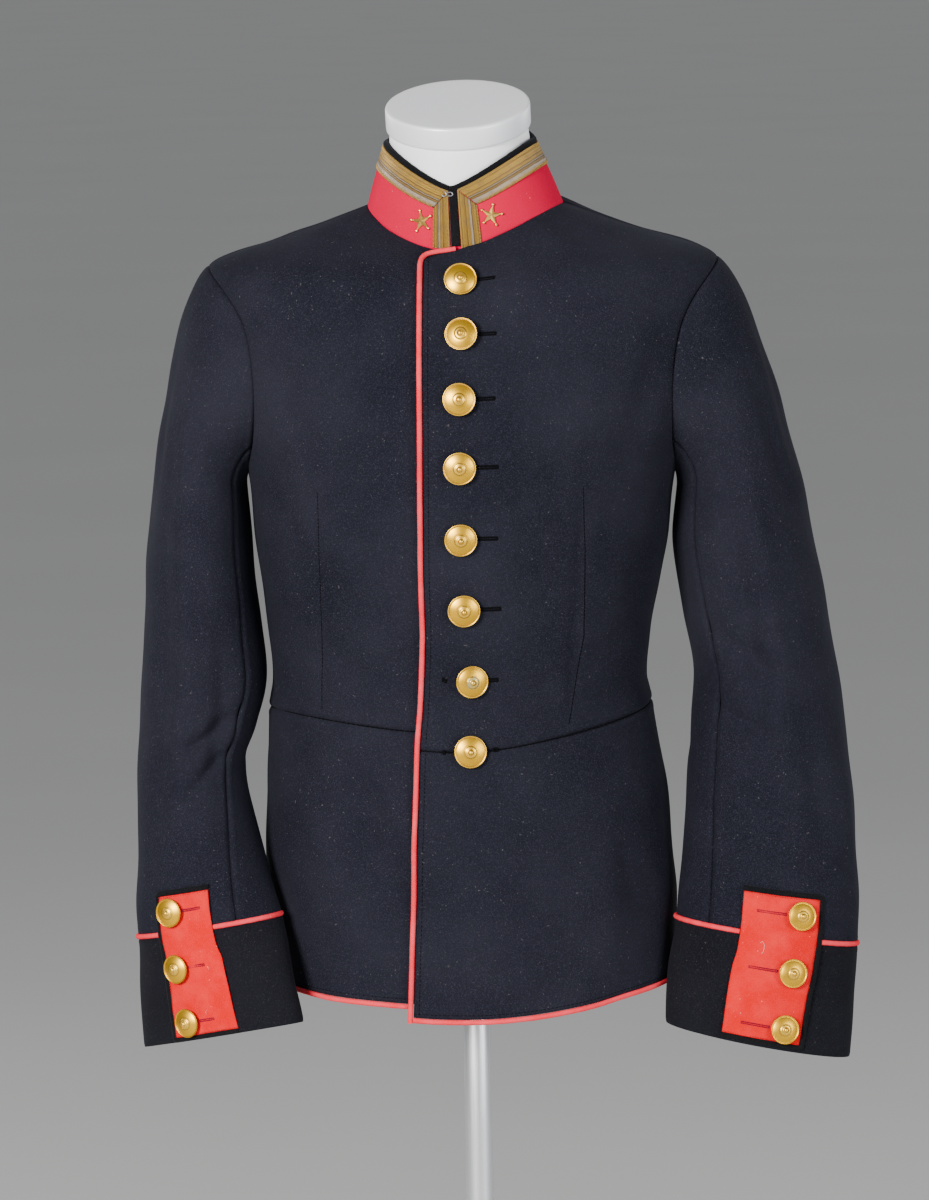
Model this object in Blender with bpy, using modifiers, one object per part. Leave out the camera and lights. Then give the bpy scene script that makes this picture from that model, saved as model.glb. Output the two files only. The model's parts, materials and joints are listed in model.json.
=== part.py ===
"""Short dark dress tunic, buttoned to a stand collar, on a limbless form with a pole and a round base.

Metres, +Z up, the front faces -Y, and the wearer's left is +X. The origin is the middle of the
underside of the base.
"""

import math
from collections import namedtuple

import bmesh
import bpy
from mathutils import Matrix, Vector

NAME = "dress_tunic"

# Cloth
WALL = 0.0020
COLLAR_WALL = 0.0022
LACE_THICKNESS = 0.0008
SEAM = 0.0003
LAP_GAP = 0.0005
PIPING_RADIUS = 0.0021
COLLAR_CORD_RADIUS = 0.0019
MIRROR = {"left": 1.0, "right": -1.0}
MERGE = 0.00005

# Body sections from the hem to the neckline. Heights at the side, front and back, half-width at the
# side, depth ahead of and behind the middle, fullness of the outline, sideways shift, and the direction
# in degrees of its lowest point at the front.
Section = namedtuple("Section", "side front back half fore aft full shift low")
BODY = (
    Section(0.829, 0.813, 0.834, 0.1655, 0.128, 0.136, 2.25, -0.0030, 0.0),
    Section(0.900, 0.886, 0.900, 0.1645, 0.124, 0.131, 2.25, -0.0025, 0.0),
    Section(0.972, 0.958, 0.970, 0.1610, 0.117, 0.120, 2.20, -0.0045, 0.0),
    Section(1.043, 1.023, 1.038, 0.1530, 0.110, 0.104, 2.15, -0.0080, 0.0),
    Section(1.068, 1.056, 1.062, 0.1495, 0.110, 0.100, 2.15, -0.0085, 0.0),
    Section(1.105, 1.100, 1.102, 0.1525, 0.113, 0.102, 2.15, -0.0070, 0.0),
    Section(1.165, 1.162, 1.165, 0.1630, 0.119, 0.109, 2.20, -0.0050, 0.0),
    Section(1.232, 1.228, 1.235, 0.1700, 0.125, 0.115, 2.25, -0.0040, 0.0),
    Section(1.290, 1.283, 1.297, 0.1840, 0.126, 0.117, 2.25, -0.0020, 0.0),
    Section(1.350, 1.337, 1.362, 0.1970, 0.118, 0.109, 2.25, 0.0000, 0.0),
    Section(1.3985, 1.376, 1.412, 0.2012, 0.104, 0.091, 2.20, 0.0005, -2.0),
    Section(1.4205, 1.399, 1.440, 0.1400, 0.087, 0.077, 2.10, 0.0010, -5.0),
    Section(1.444, 1.413, 1.462, 0.0770, 0.070, 0.066, 2.00, 0.0030, -9.0),
)
HEM = 0.0
WAIST = 3.0
ARMPIT = 7.0
SHOULDER = 10.0
NECKLINE = 12.0
COLLAR_TOP = Section(1.491, 1.4578, 1.508, 0.0595, 0.0580, 0.060, 2.00, 0.0000, -8.0)
# How pointed the dip of the collar's top is at the front: 2 is round, 1 is a sharp V.
COLLAR_POINT = 1.25
COLLAR_HEIGHT = 0.052
COLLAR_BULGE = 0.0006
SLOPE_GAP = 0.0011
# How far inside the ends of a surface its directions are taken, in sections, and the step they take.
HELD_IN = 0.003
STEP = 0.002
SECTION_STEP = 0.5

# Half opening of the armhole in degrees, ahead of and behind the shoulder.
ARMHOLE_FORE = 23.0
ARMHOLE_AFT = 25.0

# Place of the front edge of the upper front, from the hem up: section and distance from the middle.
EDGE = ((0.0, -0.0495), (1.0, -0.0460), (2.0, -0.0430), (3.0, -0.0400), (4.3, -0.0365), (5.3, -0.0340),
        (6.2, -0.0345), (10.6, -0.0310), (12.0, -0.0300))
UNDERLAP = 0.055
LAP_FADE = 0.060
LAP_EASE = 0.003
# The lower front sits this much higher at the hem, and the rise is gone this many sections above.
RISE = 0.0140
RISE_ENDS = 6.0
# Rounded upper corner of the upper front: distance in from the edge and highest section. It starts
# above this section.
CORNER_FOOT = 11.0
CORNER = ((0.000, 11.15), (0.006, 11.43), (0.014, 11.59), (0.024, 11.73), (0.034, 12.00))

# Folds of the skirt: direction in degrees, spread in degrees, lowest and highest section, depth.
Fold = namedtuple("Fold", "turn spread low high depth")
FOLDS = (
    Fold(-72.0, 9.0, -1.5, 2.6, -0.0050),
    Fold(-50.0, 11.0, -1.5, 2.4, 0.0030),
    Fold(52.0, 9.0, -1.5, 2.0, -0.0032),
    Fold(70.0, 9.0, -1.5, 2.2, 0.0025),
    Fold(150.0, 12.0, -1.5, 2.2, 0.0040),
    Fold(-150.0, 12.0, -1.5, 2.2, 0.0036),
    Fold(180.0, 9.0, -1.5, 2.0, -0.0040),
)

# Sleeve sections from below the armhole to the cuff's edge: height, distance to the side, distance
# ahead, half-width, half-depth, rise towards the outside and towards the front, and the turn of its
# front to the outside in degrees.
Ring = namedtuple("Ring", "height aside ahead half deep slope lean twist")
SLEEVE = {
    "right": (
        Ring(1.245, 0.2085, 0.000, 0.0345, 0.0610, 0.70, 0.00, 0.0),
        Ring(1.190, 0.2118, -0.004, 0.0405, 0.0655, 0.35, 0.00, 0.0),
        Ring(1.120, 0.2134, -0.001, 0.0461, 0.0660, 0.10, 0.00, 0.0),
        Ring(1.070, 0.2130, 0.003, 0.0502, 0.0640, 0.00, 0.03, 0.0),
        Ring(1.030, 0.2185, 0.009, 0.0472, 0.0615, -0.05, 0.05, 0.0),
        Ring(1.000, 0.2238, 0.015, 0.0432, 0.0600, -0.09, 0.07, 0.0),
        Ring(0.960, 0.2218, 0.028, 0.0462, 0.0570, -0.13, 0.10, 6.0),
        Ring(0.920, 0.2176, 0.043, 0.0515, 0.0500, -0.15, 0.13, 15.0),
        Ring(0.878, 0.2115, 0.060, 0.0614, 0.0420, -0.16, 0.16, 28.0),
        Ring(0.837, 0.2063, 0.073, 0.0700, 0.0360, -0.16, 0.19, 33.0),
        Ring(0.794, 0.2015, 0.083, 0.0770, 0.0320, -0.16, 0.21, 35.0),
    ),
    "left": (
        Ring(1.245, 0.2105, 0.000, 0.0425, 0.0610, 0.70, 0.00, 0.0),
        Ring(1.190, 0.2165, -0.004, 0.0530, 0.0660, 0.35, 0.00, 0.0),
        Ring(1.120, 0.2278, -0.003, 0.0573, 0.0670, 0.10, 0.00, 0.0),
        Ring(1.070, 0.2364, 0.000, 0.0574, 0.0660, 0.00, 0.02, 0.0),
        Ring(1.030, 0.2382, 0.004, 0.0612, 0.0650, -0.05, 0.03, 0.0),
        Ring(1.000, 0.2387, 0.008, 0.0638, 0.0620, -0.08, 0.05, 0.0),
        Ring(0.960, 0.2385, 0.0175, 0.0676, 0.0580, -0.12, 0.07, 0.0),
        Ring(0.921, 0.2372, 0.0290, 0.0701, 0.0530, -0.15, 0.09, 2.0),
        Ring(0.863, 0.2328, 0.0480, 0.0725, 0.0460, -0.175, 0.10, 5.0),
        Ring(0.822, 0.2276, 0.060, 0.0742, 0.0420, -0.20, 0.09, 6.0),
        Ring(0.779, 0.2240, 0.0700, 0.0746, 0.0400, -0.22, 0.07, 6.0),
    ),
}
# How the sleeve leaves the armhole: to the side at its foot, more at its head, to the front and up.
LEAVE_FOOT = 0.012
LEAVE_HEAD = 0.040
LEAVE_AHEAD = 0.004
LEAVE_UP = 0.004
ARRIVAL = 0.3
CUFF_ROW = 9.0
CUFF_END = 11.0
FORE_SEAM = -45.0
HIND_SEAM = 157.5

# Buttons of the front, from the collar down: distance from the middle, height, and turns in degrees
# to the side and upwards.
Button = namedtuple("Button", "across height yaw pitch")
FRONT_BUTTONS = (
    Button(-0.0019, 1.3897, 0.0, -15.0),
    Button(-0.0018, 1.3504, -9.0, 0.0),
    Button(-0.0048, 1.3020, 0.0, 0.0),
    Button(-0.0054, 1.2497, 0.0, 0.0),
    Button(-0.0056, 1.1934, 2.0, 0.0),
    Button(-0.0043, 1.1373, 3.0, 0.0),
    Button(0.0005, 1.0804, 10.0, 2.0),
    Button(-0.0014, 1.0237, 4.0, 0.0),
)
# Turned outline of a button, from the middle of its top to its foot: radius and height.
BUTTON = ((0.0000, 0.0076), (0.0020, 0.0072), (0.0032, 0.0054), (0.0100, 0.0046), (0.0112, 0.0036),
          (0.0128, 0.0040), (0.0126, 0.0026), (0.0050, 0.0014), (0.0026, 0.0000), (0.0000, 0.0000))
BUTTON_STEPS = 12
CUFF_BUTTON_SCALE = 0.90

# Buttons of the cuffs, from the elbow down: direction in degrees and sleeve section.
CUFF_BUTTONS = {
    "right": ((7.5, 8.62), (5.7, 9.67), (3.4, 10.60)),
    "left": ((15.3, 8.68), (11.6, 9.60), (9.2, 10.56)),
}
# Outline of the cuff flaps, from the top down: sleeve section, and direction in degrees of the inner
# and outer side.
FLAP = {
    "right": ((8.32, -23.3, 20.2), (9.33, -26.2, 15.8), (9.57, -28.2, 15.6), (10.86, -29.8, 15.5)),
    "left": ((8.46, -20.6, 28.9), (9.35, -23.1, 25.8), (9.58, -24.7, 24.9), (10.80, -28.2, 19.4)),
}
FLAP_WALL = 0.0018
FLAP_GAP = 0.0008
FLAP_EDGE = 0.0040
FLAP_EDGE_WALL = 0.0014

# Collar trim, by direction in degrees and share of the collar's height
COLLAR_OPEN = -9.5
COLLAR_SPLIT = 0.5
BAND = (-9.0, -3.3)
LACE_LEFT = (-2.9, 10.1)
LACE_RIGHT = (-21.3, -10.2)
LACE_RISE = (0.625, 0.985)
LACE_FOOT = 0.045
LACE_MITRE = 0.010
STARS = {"left": (18.4, 0.375), "right": (-29.4, 0.350)}
STAR_RADIUS = 0.0096
STAR_HEIGHT = 0.0022
STAR_WAIST = 0.40
HOOK_RADIUS = 0.0005
HOOK_RISE = 0.90
HOOK_YAW = 2.0
EYE_TURN = -13.0
# Bent wires that close the collar, in its plane: across and up from the eye's middle.
EYE_WIRE = ((0.0000, 0.0018), (0.0014, 0.0011), (0.0018, 0.0000), (0.0014, -0.0011), (0.0000, -0.0018),
            (-0.0014, -0.0011), (-0.0018, -0.0002))
HOOK_WIRE = ((0.0030, 0.0014), (0.0055, 0.0014), (0.0067, 0.0000), (0.0055, -0.0014), (0.0030, -0.0014))

# Form, neck and stand
FORM_CLEARANCE = 0.0015
FORM_SHOULDER = 0.0022
FORM_EASE = 0.0050
NECK = (
    Section(1.4680, 1.4480, 1.4760, 0.0605, 0.0550, 0.0560, 2.0, 0.0010, 0.0),
    Section(1.4850, 1.4700, 1.4960, 0.0560, 0.0530, 0.0540, 2.0, 0.0000, 0.0),
)
NECK_TOP = 0.0545
CAP_FOOT = (-0.0010, 0.0012, 1.5043)
CAP_RADIUS = 0.0572
CAP_HEIGHT = 0.0185
CAP_BEVEL = 0.0015
CAP_TILT = 16.5
CAP_LIST = -2.0
POLE_RADIUS = 0.0112
BASE_RADIUS = 0.170
BASE_HEIGHT = 0.010
BASE_BEVEL = 0.002

# Colour, roughness and how metallic each material is.
Finish = namedtuple("Finish", "colour rough metal")
FINISHES = {
    "navy_wool": Finish((0.010, 0.012, 0.022), 0.92, 0.0),
    "red_cloth": Finish((0.58, 0.030, 0.035), 0.88, 0.0),
    "red_piping": Finish((0.62, 0.065, 0.060), 0.85, 0.0),
    "gold_lace": Finish((0.36, 0.25, 0.10), 0.55, 0.3),
    "black_cloth": Finish((0.008, 0.008, 0.010), 0.90, 0.0),
    "gilt": Finish((0.78, 0.53, 0.17), 0.32, 1.0),
    "white_form": Finish((0.80, 0.80, 0.80), 0.55, 0.0),
    "silver_paint": Finish((0.62, 0.63, 0.65), 0.40, 0.6),
    "white_metal": Finish((0.70, 0.70, 0.72), 0.30, 1.0),
    "brushed_metal": Finish((0.60, 0.61, 0.63), 0.35, 1.0),
}


def blend(rows, at):
    """A row between two rows of a table, on a smooth curve through them."""
    at = min(max(at, 0.0), len(rows) - 1.0)
    low = min(int(at), len(rows) - 2)
    part = at - low
    before = rows[max(low - 1, 0)]
    first = rows[low]
    second = rows[low + 1]
    after = rows[min(low + 2, len(rows) - 1)]
    values = []
    for a, b, c, d in zip(before, first, second, after):
        start = (c - a) / 2.0
        end = (d - b) / 2.0
        cube = 2.0 * b - 2.0 * c + start + end
        square = 3.0 * c - 3.0 * b - 2.0 * start - end
        values.append(((cube * part + square) * part + start) * part + b)
    return type(first)(*values)


def smooth(low, high, value):
    part = min(max((value - low) / (high - low), 0.0), 1.0)
    return part * part * (3.0 - 2.0 * part)


def along(table, at):
    """A value of a two-column table, straight between its rows."""
    for (a, low), (b, high) in zip(table, table[1:]):
        if at <= b:
            return low + (high - low) * (max(at, a) - a) / (b - a)
    return table[-1][1]


def reach(section, turn):
    """Distance of a section's outline from its middle in one direction."""
    ahead = math.cos(turn)
    depth = section.fore if ahead > 0.0 else section.aft
    across = abs(math.sin(turn) / section.half) ** section.full
    deep = abs(ahead / depth) ** section.full
    return (across + deep) ** (-1.0 / section.full)


def on_section(section, turn):
    ahead = math.cos(turn)
    size = reach(section, turn)
    lean = math.cos(turn - math.radians(section.low))
    end = section.front if lean > 0.0 else section.back
    height = section.side + (end - section.side) * lean * lean
    return Vector((section.shift + size * math.sin(turn), -size * ahead, height))


def fold_depth(turn, row):
    depth = 0.0
    for fold in FOLDS:
        away = (math.degrees(turn) - fold.turn + 180.0) % 360.0 - 180.0
        level = smooth(fold.high, fold.low, row) if row < fold.high else 0.0
        depth += fold.depth * math.exp(-((away / fold.spread) ** 2)) * level
    return depth


def body_raw(turn, row, rise):
    lifted = rise * max(math.cos(turn), 0.0) * (1.0 - smooth(WAIST, RISE_ENDS, row))
    point = on_section(blend(BODY, row), turn)
    if lifted:
        above = on_section(blend(BODY, row + SECTION_STEP), turn)
        point = on_section(blend(BODY, row + SECTION_STEP * lifted / (above.z - point.z)), turn)
    size = math.hypot(point.x, point.y)
    push = fold_depth(turn, row) / max(size, 0.01)
    return Vector((point.x * (1.0 + push), point.y * (1.0 + push), point.z))


def outward(surface, first, second):
    """Direction out of a surface, from two small steps along it."""
    across = surface(first + STEP, second) - surface(first - STEP, second)
    up = surface(first, second + STEP) - surface(first, second - STEP)
    return across.cross(up).normalized()


def body_point(turn, row, out=0.0, rise=0.0):
    """Point of the body's outer side in a direction at a section, moved out."""
    point = body_raw(turn, row, rise)
    if out == 0.0:
        return point
    held = min(max(row, HELD_IN), NECKLINE - HELD_IN)
    return point + outward(lambda a, b: body_raw(a, b, rise), turn, held) * out


def turn_at(across, row):
    """Direction in which the front of a section is this far from the middle."""
    section = blend(BODY, row)
    turn = 0.0
    for _ in range(30):
        part = (across - section.shift) / reach(section, turn)
        turn = math.asin(min(max(part, -1.0), 1.0))
    return turn


def row_at(turn, height):
    """Section at which the front has this height in a direction."""
    low, high = HEM, NECKLINE
    for _ in range(40):
        middle = (low + high) / 2.0
        if body_raw(turn, middle, 0.0).z < height:
            low = middle
        else:
            high = middle
    return (low + high) / 2.0


# Rows of sections through the panels. The rows beside the armhole share their places with the
# columns of the sleeve.
ARM_TURNS = (-90.0, -65.0, -45.0, -22.5, 0.0, 22.5, 45.0, 65.0, 90.0)


def arm_row(angle):
    middle = (ARMPIT + SHOULDER) / 2.0
    return middle + (SHOULDER - ARMPIT) / 2.0 * math.sin(math.radians(angle))


SKIRT_ROWS = (0.0, 0.5, 1.0, 1.7, 2.3, 2.65, 3.0)
BODICE_ROWS = (3.0, 3.5, 4.0, 5.0, 6.0) + tuple(arm_row(a) for a in ARM_TURNS) + (10.5, 11.0, 11.6, 12.0)
SEAM_ROW = 0.005


def armhole_turn(row, opening):
    """Half opening in degrees of the armhole at a section."""
    middle = (ARMPIT + SHOULDER) / 2.0
    part = (row - middle) / ((SHOULDER - ARMPIT) / 2.0)
    if abs(part) >= 1.0:
        return 0.0
    return opening * math.sqrt(1.0 - part * part)


def side_turn(row, opening):
    """Angle in radians from the side at which a panel ends."""
    gap = SEAM / 2.0 / blend(BODY, row).half
    return max(math.radians(armhole_turn(row, opening)), gap)


def kept_inside(rows):
    """Rows of a panel, drawn in a little at the waist seam."""
    first = rows[0] + (SEAM_ROW if rows[0] == WAIST else 0.0)
    last = rows[-1] - (SEAM_ROW if rows[-1] == WAIST else 0.0)
    return (first,) + tuple(rows[1:-1]) + (last,)


LAP_COLUMNS = (0.0, 0.006, 0.014, 0.024, 0.034, UNDERLAP)
FRONT_SHARES = (0.0, 0.20, 0.40, 0.58, 0.74, 0.87, 0.955, 1.0)
BACK_SHARES = (0.0, 0.045, 0.14, 0.27, 0.43, 0.62, 0.82, 0.96, 1.0)


def front_columns(side):
    lap = [("lap", part) for part in LAP_COLUMNS]
    spread = [("share", part) for part in FRONT_SHARES[1:]]
    if side == "left":
        return lap + spread
    return [("share", part) for part in reversed(FRONT_SHARES[1:])] + lap


def front_point(side, column, row, out=0.0):
    kind, part = column
    sign = MIRROR[side]
    top = NECKLINE
    if side == "left" and kind == "lap":
        top = along(CORNER, part)
    if row > CORNER_FOOT:
        row = CORNER_FOOT + (row - CORNER_FOOT) * (top - CORNER_FOOT)
    edge = along(EDGE, row)
    rise = RISE if side == "right" else 0.0
    start = turn_at(edge + UNDERLAP if side == "left" else edge, row)
    if kind == "lap":
        turn = turn_at(edge + part, row)
        across = part
    else:
        end = sign * (math.pi / 2.0 - side_turn(row, ARMHOLE_FORE))
        turn = start + (end - start) * part
        across = blend(BODY, row).half * abs(math.sin(turn) - math.sin(start)) + UNDERLAP
    if side == "left":
        out += (WALL + LAP_GAP) * (1.0 - smooth(UNDERLAP + LAP_EASE, UNDERLAP + LAP_FADE, across))
    return body_point(turn, row, out, rise)


def back_point(side, part, row, out=0.0):
    sign = MIRROR[side]
    gap = SEAM / 2.0 / blend(BODY, row).aft
    start = math.pi / 2.0 + side_turn(row, ARMHOLE_AFT)
    turn = sign * (start + (math.pi - gap - start) * part)
    return body_point(turn, row, out)


def collar_raw(turn, rise):
    base = on_section(BODY[-1], turn)
    top = on_section(COLLAR_TOP, turn)
    away = turn - math.radians(COLLAR_TOP.low)
    if math.cos(away) > 0.0:
        dip = 1.0 - abs(math.sin(away)) ** COLLAR_POINT
        top.z = COLLAR_TOP.side + (COLLAR_TOP.front - COLLAR_TOP.side) * dip
    point = base.lerp(top, rise)
    bulge = COLLAR_BULGE * math.sin(math.pi * min(max(rise, 0.0), 1.0))
    size = math.hypot(point.x, point.y)
    return Vector((point.x * (1.0 + bulge / size), point.y * (1.0 + bulge / size), point.z))


def collar_point(turn, rise, out=0.0):
    point = collar_raw(turn, rise)
    if out == 0.0:
        return point
    return point + outward(collar_raw, turn, rise) * out


def sleeve_ring(side, angle, row):
    ring = blend(SLEEVE[side], row - 1.0)
    twist = math.radians(ring.twist)
    wide = ring.half * math.sin(angle)
    thick = ring.deep * math.cos(angle)
    across = wide * math.cos(twist) + thick * math.sin(twist)
    deep = thick * math.cos(twist) - wide * math.sin(twist)
    height = ring.height + ring.slope * across + ring.lean * deep
    return Vector((MIRROR[side] * (ring.aside + across), -ring.ahead - deep, height))


def armhole_corner(side, degrees):
    """Point of the armhole's edge that a panel and the sleeve share."""
    angle = math.radians(degrees)
    sign = MIRROR[side]
    opening = ARMHOLE_FORE if math.cos(angle) > 0.0 else ARMHOLE_AFT
    turn = sign * (math.pi / 2.0 - math.radians(opening) * math.cos(angle))
    start = body_raw(turn, arm_row(math.degrees(math.asin(math.sin(angle)))), 0.0)
    start.x += sign * SEAM
    return start


def armhole_point(side, angle):
    """Point of the armhole's edge, straight between the shared points."""
    turn = (math.degrees(angle) + 90.0) % 360.0 - 90.0
    places = ARM_TURNS + tuple(180.0 - at for at in ARM_TURNS[-2::-1])
    for low, high in zip(places, places[1:]):
        if turn <= high:
            break
    part = (turn - low) / (high - low)
    return armhole_corner(side, low).lerp(armhole_corner(side, high), part)


def sleeve_raw(side, angle, row):
    """Point of the sleeve: the armhole is row 0, and the cuff's edge is the last row."""
    if row >= 1.0:
        return sleeve_ring(side, angle, row)
    sign = MIRROR[side]
    start = armhole_point(side, angle)
    end = sleeve_ring(side, angle, 1.0)
    head = (1.0 + math.sin(angle)) / 2.0
    leave = Vector((sign * (LEAVE_FOOT + LEAVE_HEAD * head), -LEAVE_AHEAD * math.cos(angle), LEAVE_UP * head))
    arrive = (sleeve_ring(side, angle, 1.0 + ARRIVAL) - end) / ARRIVAL
    arrive *= (start - end).length / max(arrive.length, 0.001)
    square = row * row
    cube = square * row
    point = start * (2.0 * cube - 3.0 * square + 1.0) + leave * (cube - 2.0 * square + row)
    return point + end * (3.0 * square - 2.0 * cube) + arrive * (cube - square)


def sleeve_point(side, angle, row, out=0.0):
    point = sleeve_raw(side, angle, row)
    if out == 0.0:
        return point
    held = min(max(row, 0.01), CUFF_END - HELD_IN)
    away = outward(lambda a, b: sleeve_raw(side, a, b), angle, held)
    return point - away * out * MIRROR[side]


# Scene, collections and materials
for thing in list(bpy.data.objects):
    bpy.data.objects.remove(thing, do_unlink=True)
garment = bpy.data.collections.new(NAME)
bpy.context.scene.collection.children.link(garment)


def material_for(piece, finish):
    """A material of the piece's own."""
    found = bpy.data.materials.new(piece)
    found.use_nodes = True
    shader = found.node_tree.nodes["Principled BSDF"]
    shader.inputs["Base Color"].default_value = (*FINISHES[finish].colour, 1.0)
    shader.inputs["Roughness"].default_value = FINISHES[finish].rough
    shader.inputs["Metallic"].default_value = FINISHES[finish].metal
    return found


def put(piece, mesh, finish, shaded=True):
    for face in getattr(mesh, "polygons", ()):
        face.use_smooth = shaded
    mesh.materials.append(material_for(piece, finish))
    thing = bpy.data.objects.new(piece, mesh)
    garment.objects.link(thing)
    return thing


def grid_mesh(piece, columns, rows, place, hint):
    """A grid of faces placed by a function, its face side turned to the hint."""
    work = bmesh.new()
    bmesh.ops.create_grid(work, x_segments=len(columns) - 1, y_segments=len(rows) - 1, size=1.0)
    work.verts.ensure_lookup_table()
    for number, vertex in enumerate(work.verts):
        vertex.co = place(columns[number % len(columns)], rows[number // len(columns)])
    work.faces.ensure_lookup_table()
    work.normal_update()
    middle = work.faces[len(work.faces) // 2]
    if middle.normal.dot(hint(middle.calc_center_median())) < 0.0:
        bmesh.ops.reverse_faces(work, faces=work.faces)
    return work


def finished(piece, work):
    mesh = bpy.data.meshes.new(piece)
    work.to_mesh(mesh)
    work.free()
    return mesh


def cloth(piece, columns, rows, place, middle, finish, wall=WALL):
    """A sheet of cloth: its outer side by a function, and its wall inwards."""
    work = grid_mesh(piece, columns, rows, place, lambda at: at - Vector(middle(at)))
    thing = put(piece, finished(piece, work), finish)
    thick = thing.modifiers.new("Wall", "SOLIDIFY")
    thick.thickness = wall
    thick.offset = -1.0
    return thing


def ring_cloth(piece, columns, rows, place, middle, finish, wall=WALL):
    """A tube of cloth that closes on itself."""
    work = grid_mesh(piece, columns, rows, place, lambda at: at - Vector(middle(at)))
    bmesh.ops.remove_doubles(work, verts=work.verts, dist=MERGE)
    thing = put(piece, finished(piece, work), finish)
    thick = thing.modifiers.new("Wall", "SOLIDIFY")
    thick.thickness = wall
    thick.offset = -1.0
    return thing


def cord(piece, points, radius, finish):
    """A round cord through points."""
    curve = bpy.data.curves.new(piece, "CURVE")
    curve.dimensions = "3D"
    curve.bevel_depth = radius
    curve.bevel_resolution = 1
    curve.use_fill_caps = True
    line = curve.splines.new("POLY")
    line.points.add(len(points) - 1)
    for at, point in zip(line.points, points):
        at.co = (*point, 1.0)
    return put(piece, curve, finish)


def turned(piece, outline, steps, finish, scale=1.0):
    """A turned piece about its own Z axis, from its outline."""
    mesh = bpy.data.meshes.new(piece)
    points = [(radius * scale, 0.0, height * scale) for radius, height in outline]
    mesh.from_pydata(points, [(i, i + 1) for i in range(len(points) - 1)], [])
    thing = put(piece, mesh, finish)
    screw = thing.modifiers.new("Turn", "SCREW")
    screw.steps = steps
    screw.render_steps = steps
    screw.use_merge_vertices = True
    screw.merge_threshold = MERGE
    screw.use_smooth_shade = True
    return thing


def centre_of_body(at):
    return (0.0, 0.0, at.z)


# Panels of the bodice and the skirt
for side in ("left", "right"):
    for piece, rows in (("front", BODICE_ROWS), ("skirt_front", SKIRT_ROWS)):
        cloth(f"{piece}_{side}", front_columns(side), kept_inside(rows),
              lambda column, row, side=side: front_point(side, column, row),
              centre_of_body, "navy_wool")
    for piece, rows in (("back", BODICE_ROWS), ("skirt_back", SKIRT_ROWS)):
        cloth(f"{piece}_{side}", BACK_SHARES, kept_inside(rows),
              lambda part, row, side=side: back_point(side, part, row),
              centre_of_body, "navy_wool")

# Sleeves and cuffs
TOP_ANGLES = (-45.0, -22.5, 0.0, 22.5, 45.0, 65.0, 90.0, 115.0, 135.0, 157.5)
UNDER_ANGLES = (157.5, 180.0, 202.5, 225.0, 245.0, 270.0, 295.0, 315.0)
SLEEVE_ROWS = (0.0, 0.15, 0.4, 0.7, 1.0, 1.5, 2.0, 3.0, 4.0, 5.0, 6.0, 7.0, 7.7, 8.2, 8.5, 9.0)
CUFF_ANGLES = (-45.0, -22.5, 0.0, 22.5, 45.0, 67.5, 90.0, 112.5, 135.0, 157.5, 180.0, 202.5, 225.0,
               247.5, 270.0, 292.5, 315.0)
CUFF_ROWS = (9.0, 9.5, 10.0, 10.5, 11.0)
SEAM_TURN = 0.35
BESIDE_TURN = 4.0


def centre_of_sleeve(side):
    rings = SLEEVE[side]

    def middle(at):
        best = min(rings, key=lambda ring: abs(ring.height - at.z))
        return (MIRROR[side] * best.aside, -best.ahead, at.z)

    return middle


def opened(angles):
    """Angles of a sleeve piece, drawn in a little at both seams."""
    inner = [angles[0] + SEAM_TURN, angles[0] + BESIDE_TURN]
    outer = [angles[-1] - BESIDE_TURN, angles[-1] - SEAM_TURN]
    return [math.radians(angle) for angle in inner + list(angles[1:-1]) + outer]


for side in ("left", "right"):
    rows = SLEEVE_ROWS[:-1] + (CUFF_ROW - SEAM_ROW,)
    for piece, angles in (("top_sleeve", TOP_ANGLES), ("under_sleeve", UNDER_ANGLES)):
        cloth(f"{piece}_{side}", opened(angles), rows,
              lambda angle, row, side=side: sleeve_point(side, angle, row),
              centre_of_sleeve(side), "navy_wool")
    ring_cloth(f"cuff_{side}", [math.radians(angle) for angle in CUFF_ANGLES],
               (CUFF_ROW + SEAM_ROW,) + CUFF_ROWS[1:],
               lambda angle, row, side=side: sleeve_point(side, angle, row),
               centre_of_sleeve(side), "navy_wool")

# Collar with its lace, cord and end band
COLLAR_STEPS = 36
COLLAR_ROWS = (SLOPE_GAP / COLLAR_HEIGHT, 0.33, LACE_RISE[0], 1.0)


def collar_turns(first, last, steps):
    return [math.radians(first + (last - first) * number / steps) for number in range(steps + 1)]


COLLAR_TURNS = collar_turns(COLLAR_OPEN + COLLAR_SPLIT, COLLAR_OPEN - COLLAR_SPLIT + 360.0, COLLAR_STEPS)


def middle_of_collar(at):
    return (0.0, 0.0, at.z)


cloth("collar", COLLAR_TURNS, COLLAR_ROWS, collar_point, middle_of_collar, "red_cloth", COLLAR_WALL)

LACE_OUT = LAP_GAP + LACE_THICKNESS
LACE_CLEAR = math.radians(3.0)
lace_first = math.radians(LACE_LEFT[1]) + LACE_CLEAR
lace_last = math.radians(360.0 + LACE_RIGHT[0]) - LACE_CLEAR
LACE_TURNS = ([("first", part) for part in (0.0, 0.33, 0.67)]
              + [("turn", turn) for turn in COLLAR_TURNS if lace_first < turn < lace_last]
              + [("last", part) for part in (0.67, 0.33, 0.0)])
LACE_FULL = [turn for kind, turn in LACE_TURNS if kind == "turn"]


def lace_top_point(column, rise):
    """Point of the lace along the top, whose ends are mitred."""
    kind, turn = column
    level = (rise - LACE_RISE[0]) / (LACE_RISE[1] - LACE_RISE[0])
    if kind == "first":
        end = math.radians(LACE_LEFT[1] + (LACE_LEFT[0] - LACE_LEFT[1]) * level)
        turn = end + (LACE_FULL[0] - end) * turn
    if kind == "last":
        end = math.radians(360.0 + LACE_RIGHT[0] + (LACE_RIGHT[1] - LACE_RIGHT[0]) * level)
        turn = end + (LACE_FULL[-1] - end) * turn
    return collar_point(turn, rise, LACE_OUT)


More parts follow.
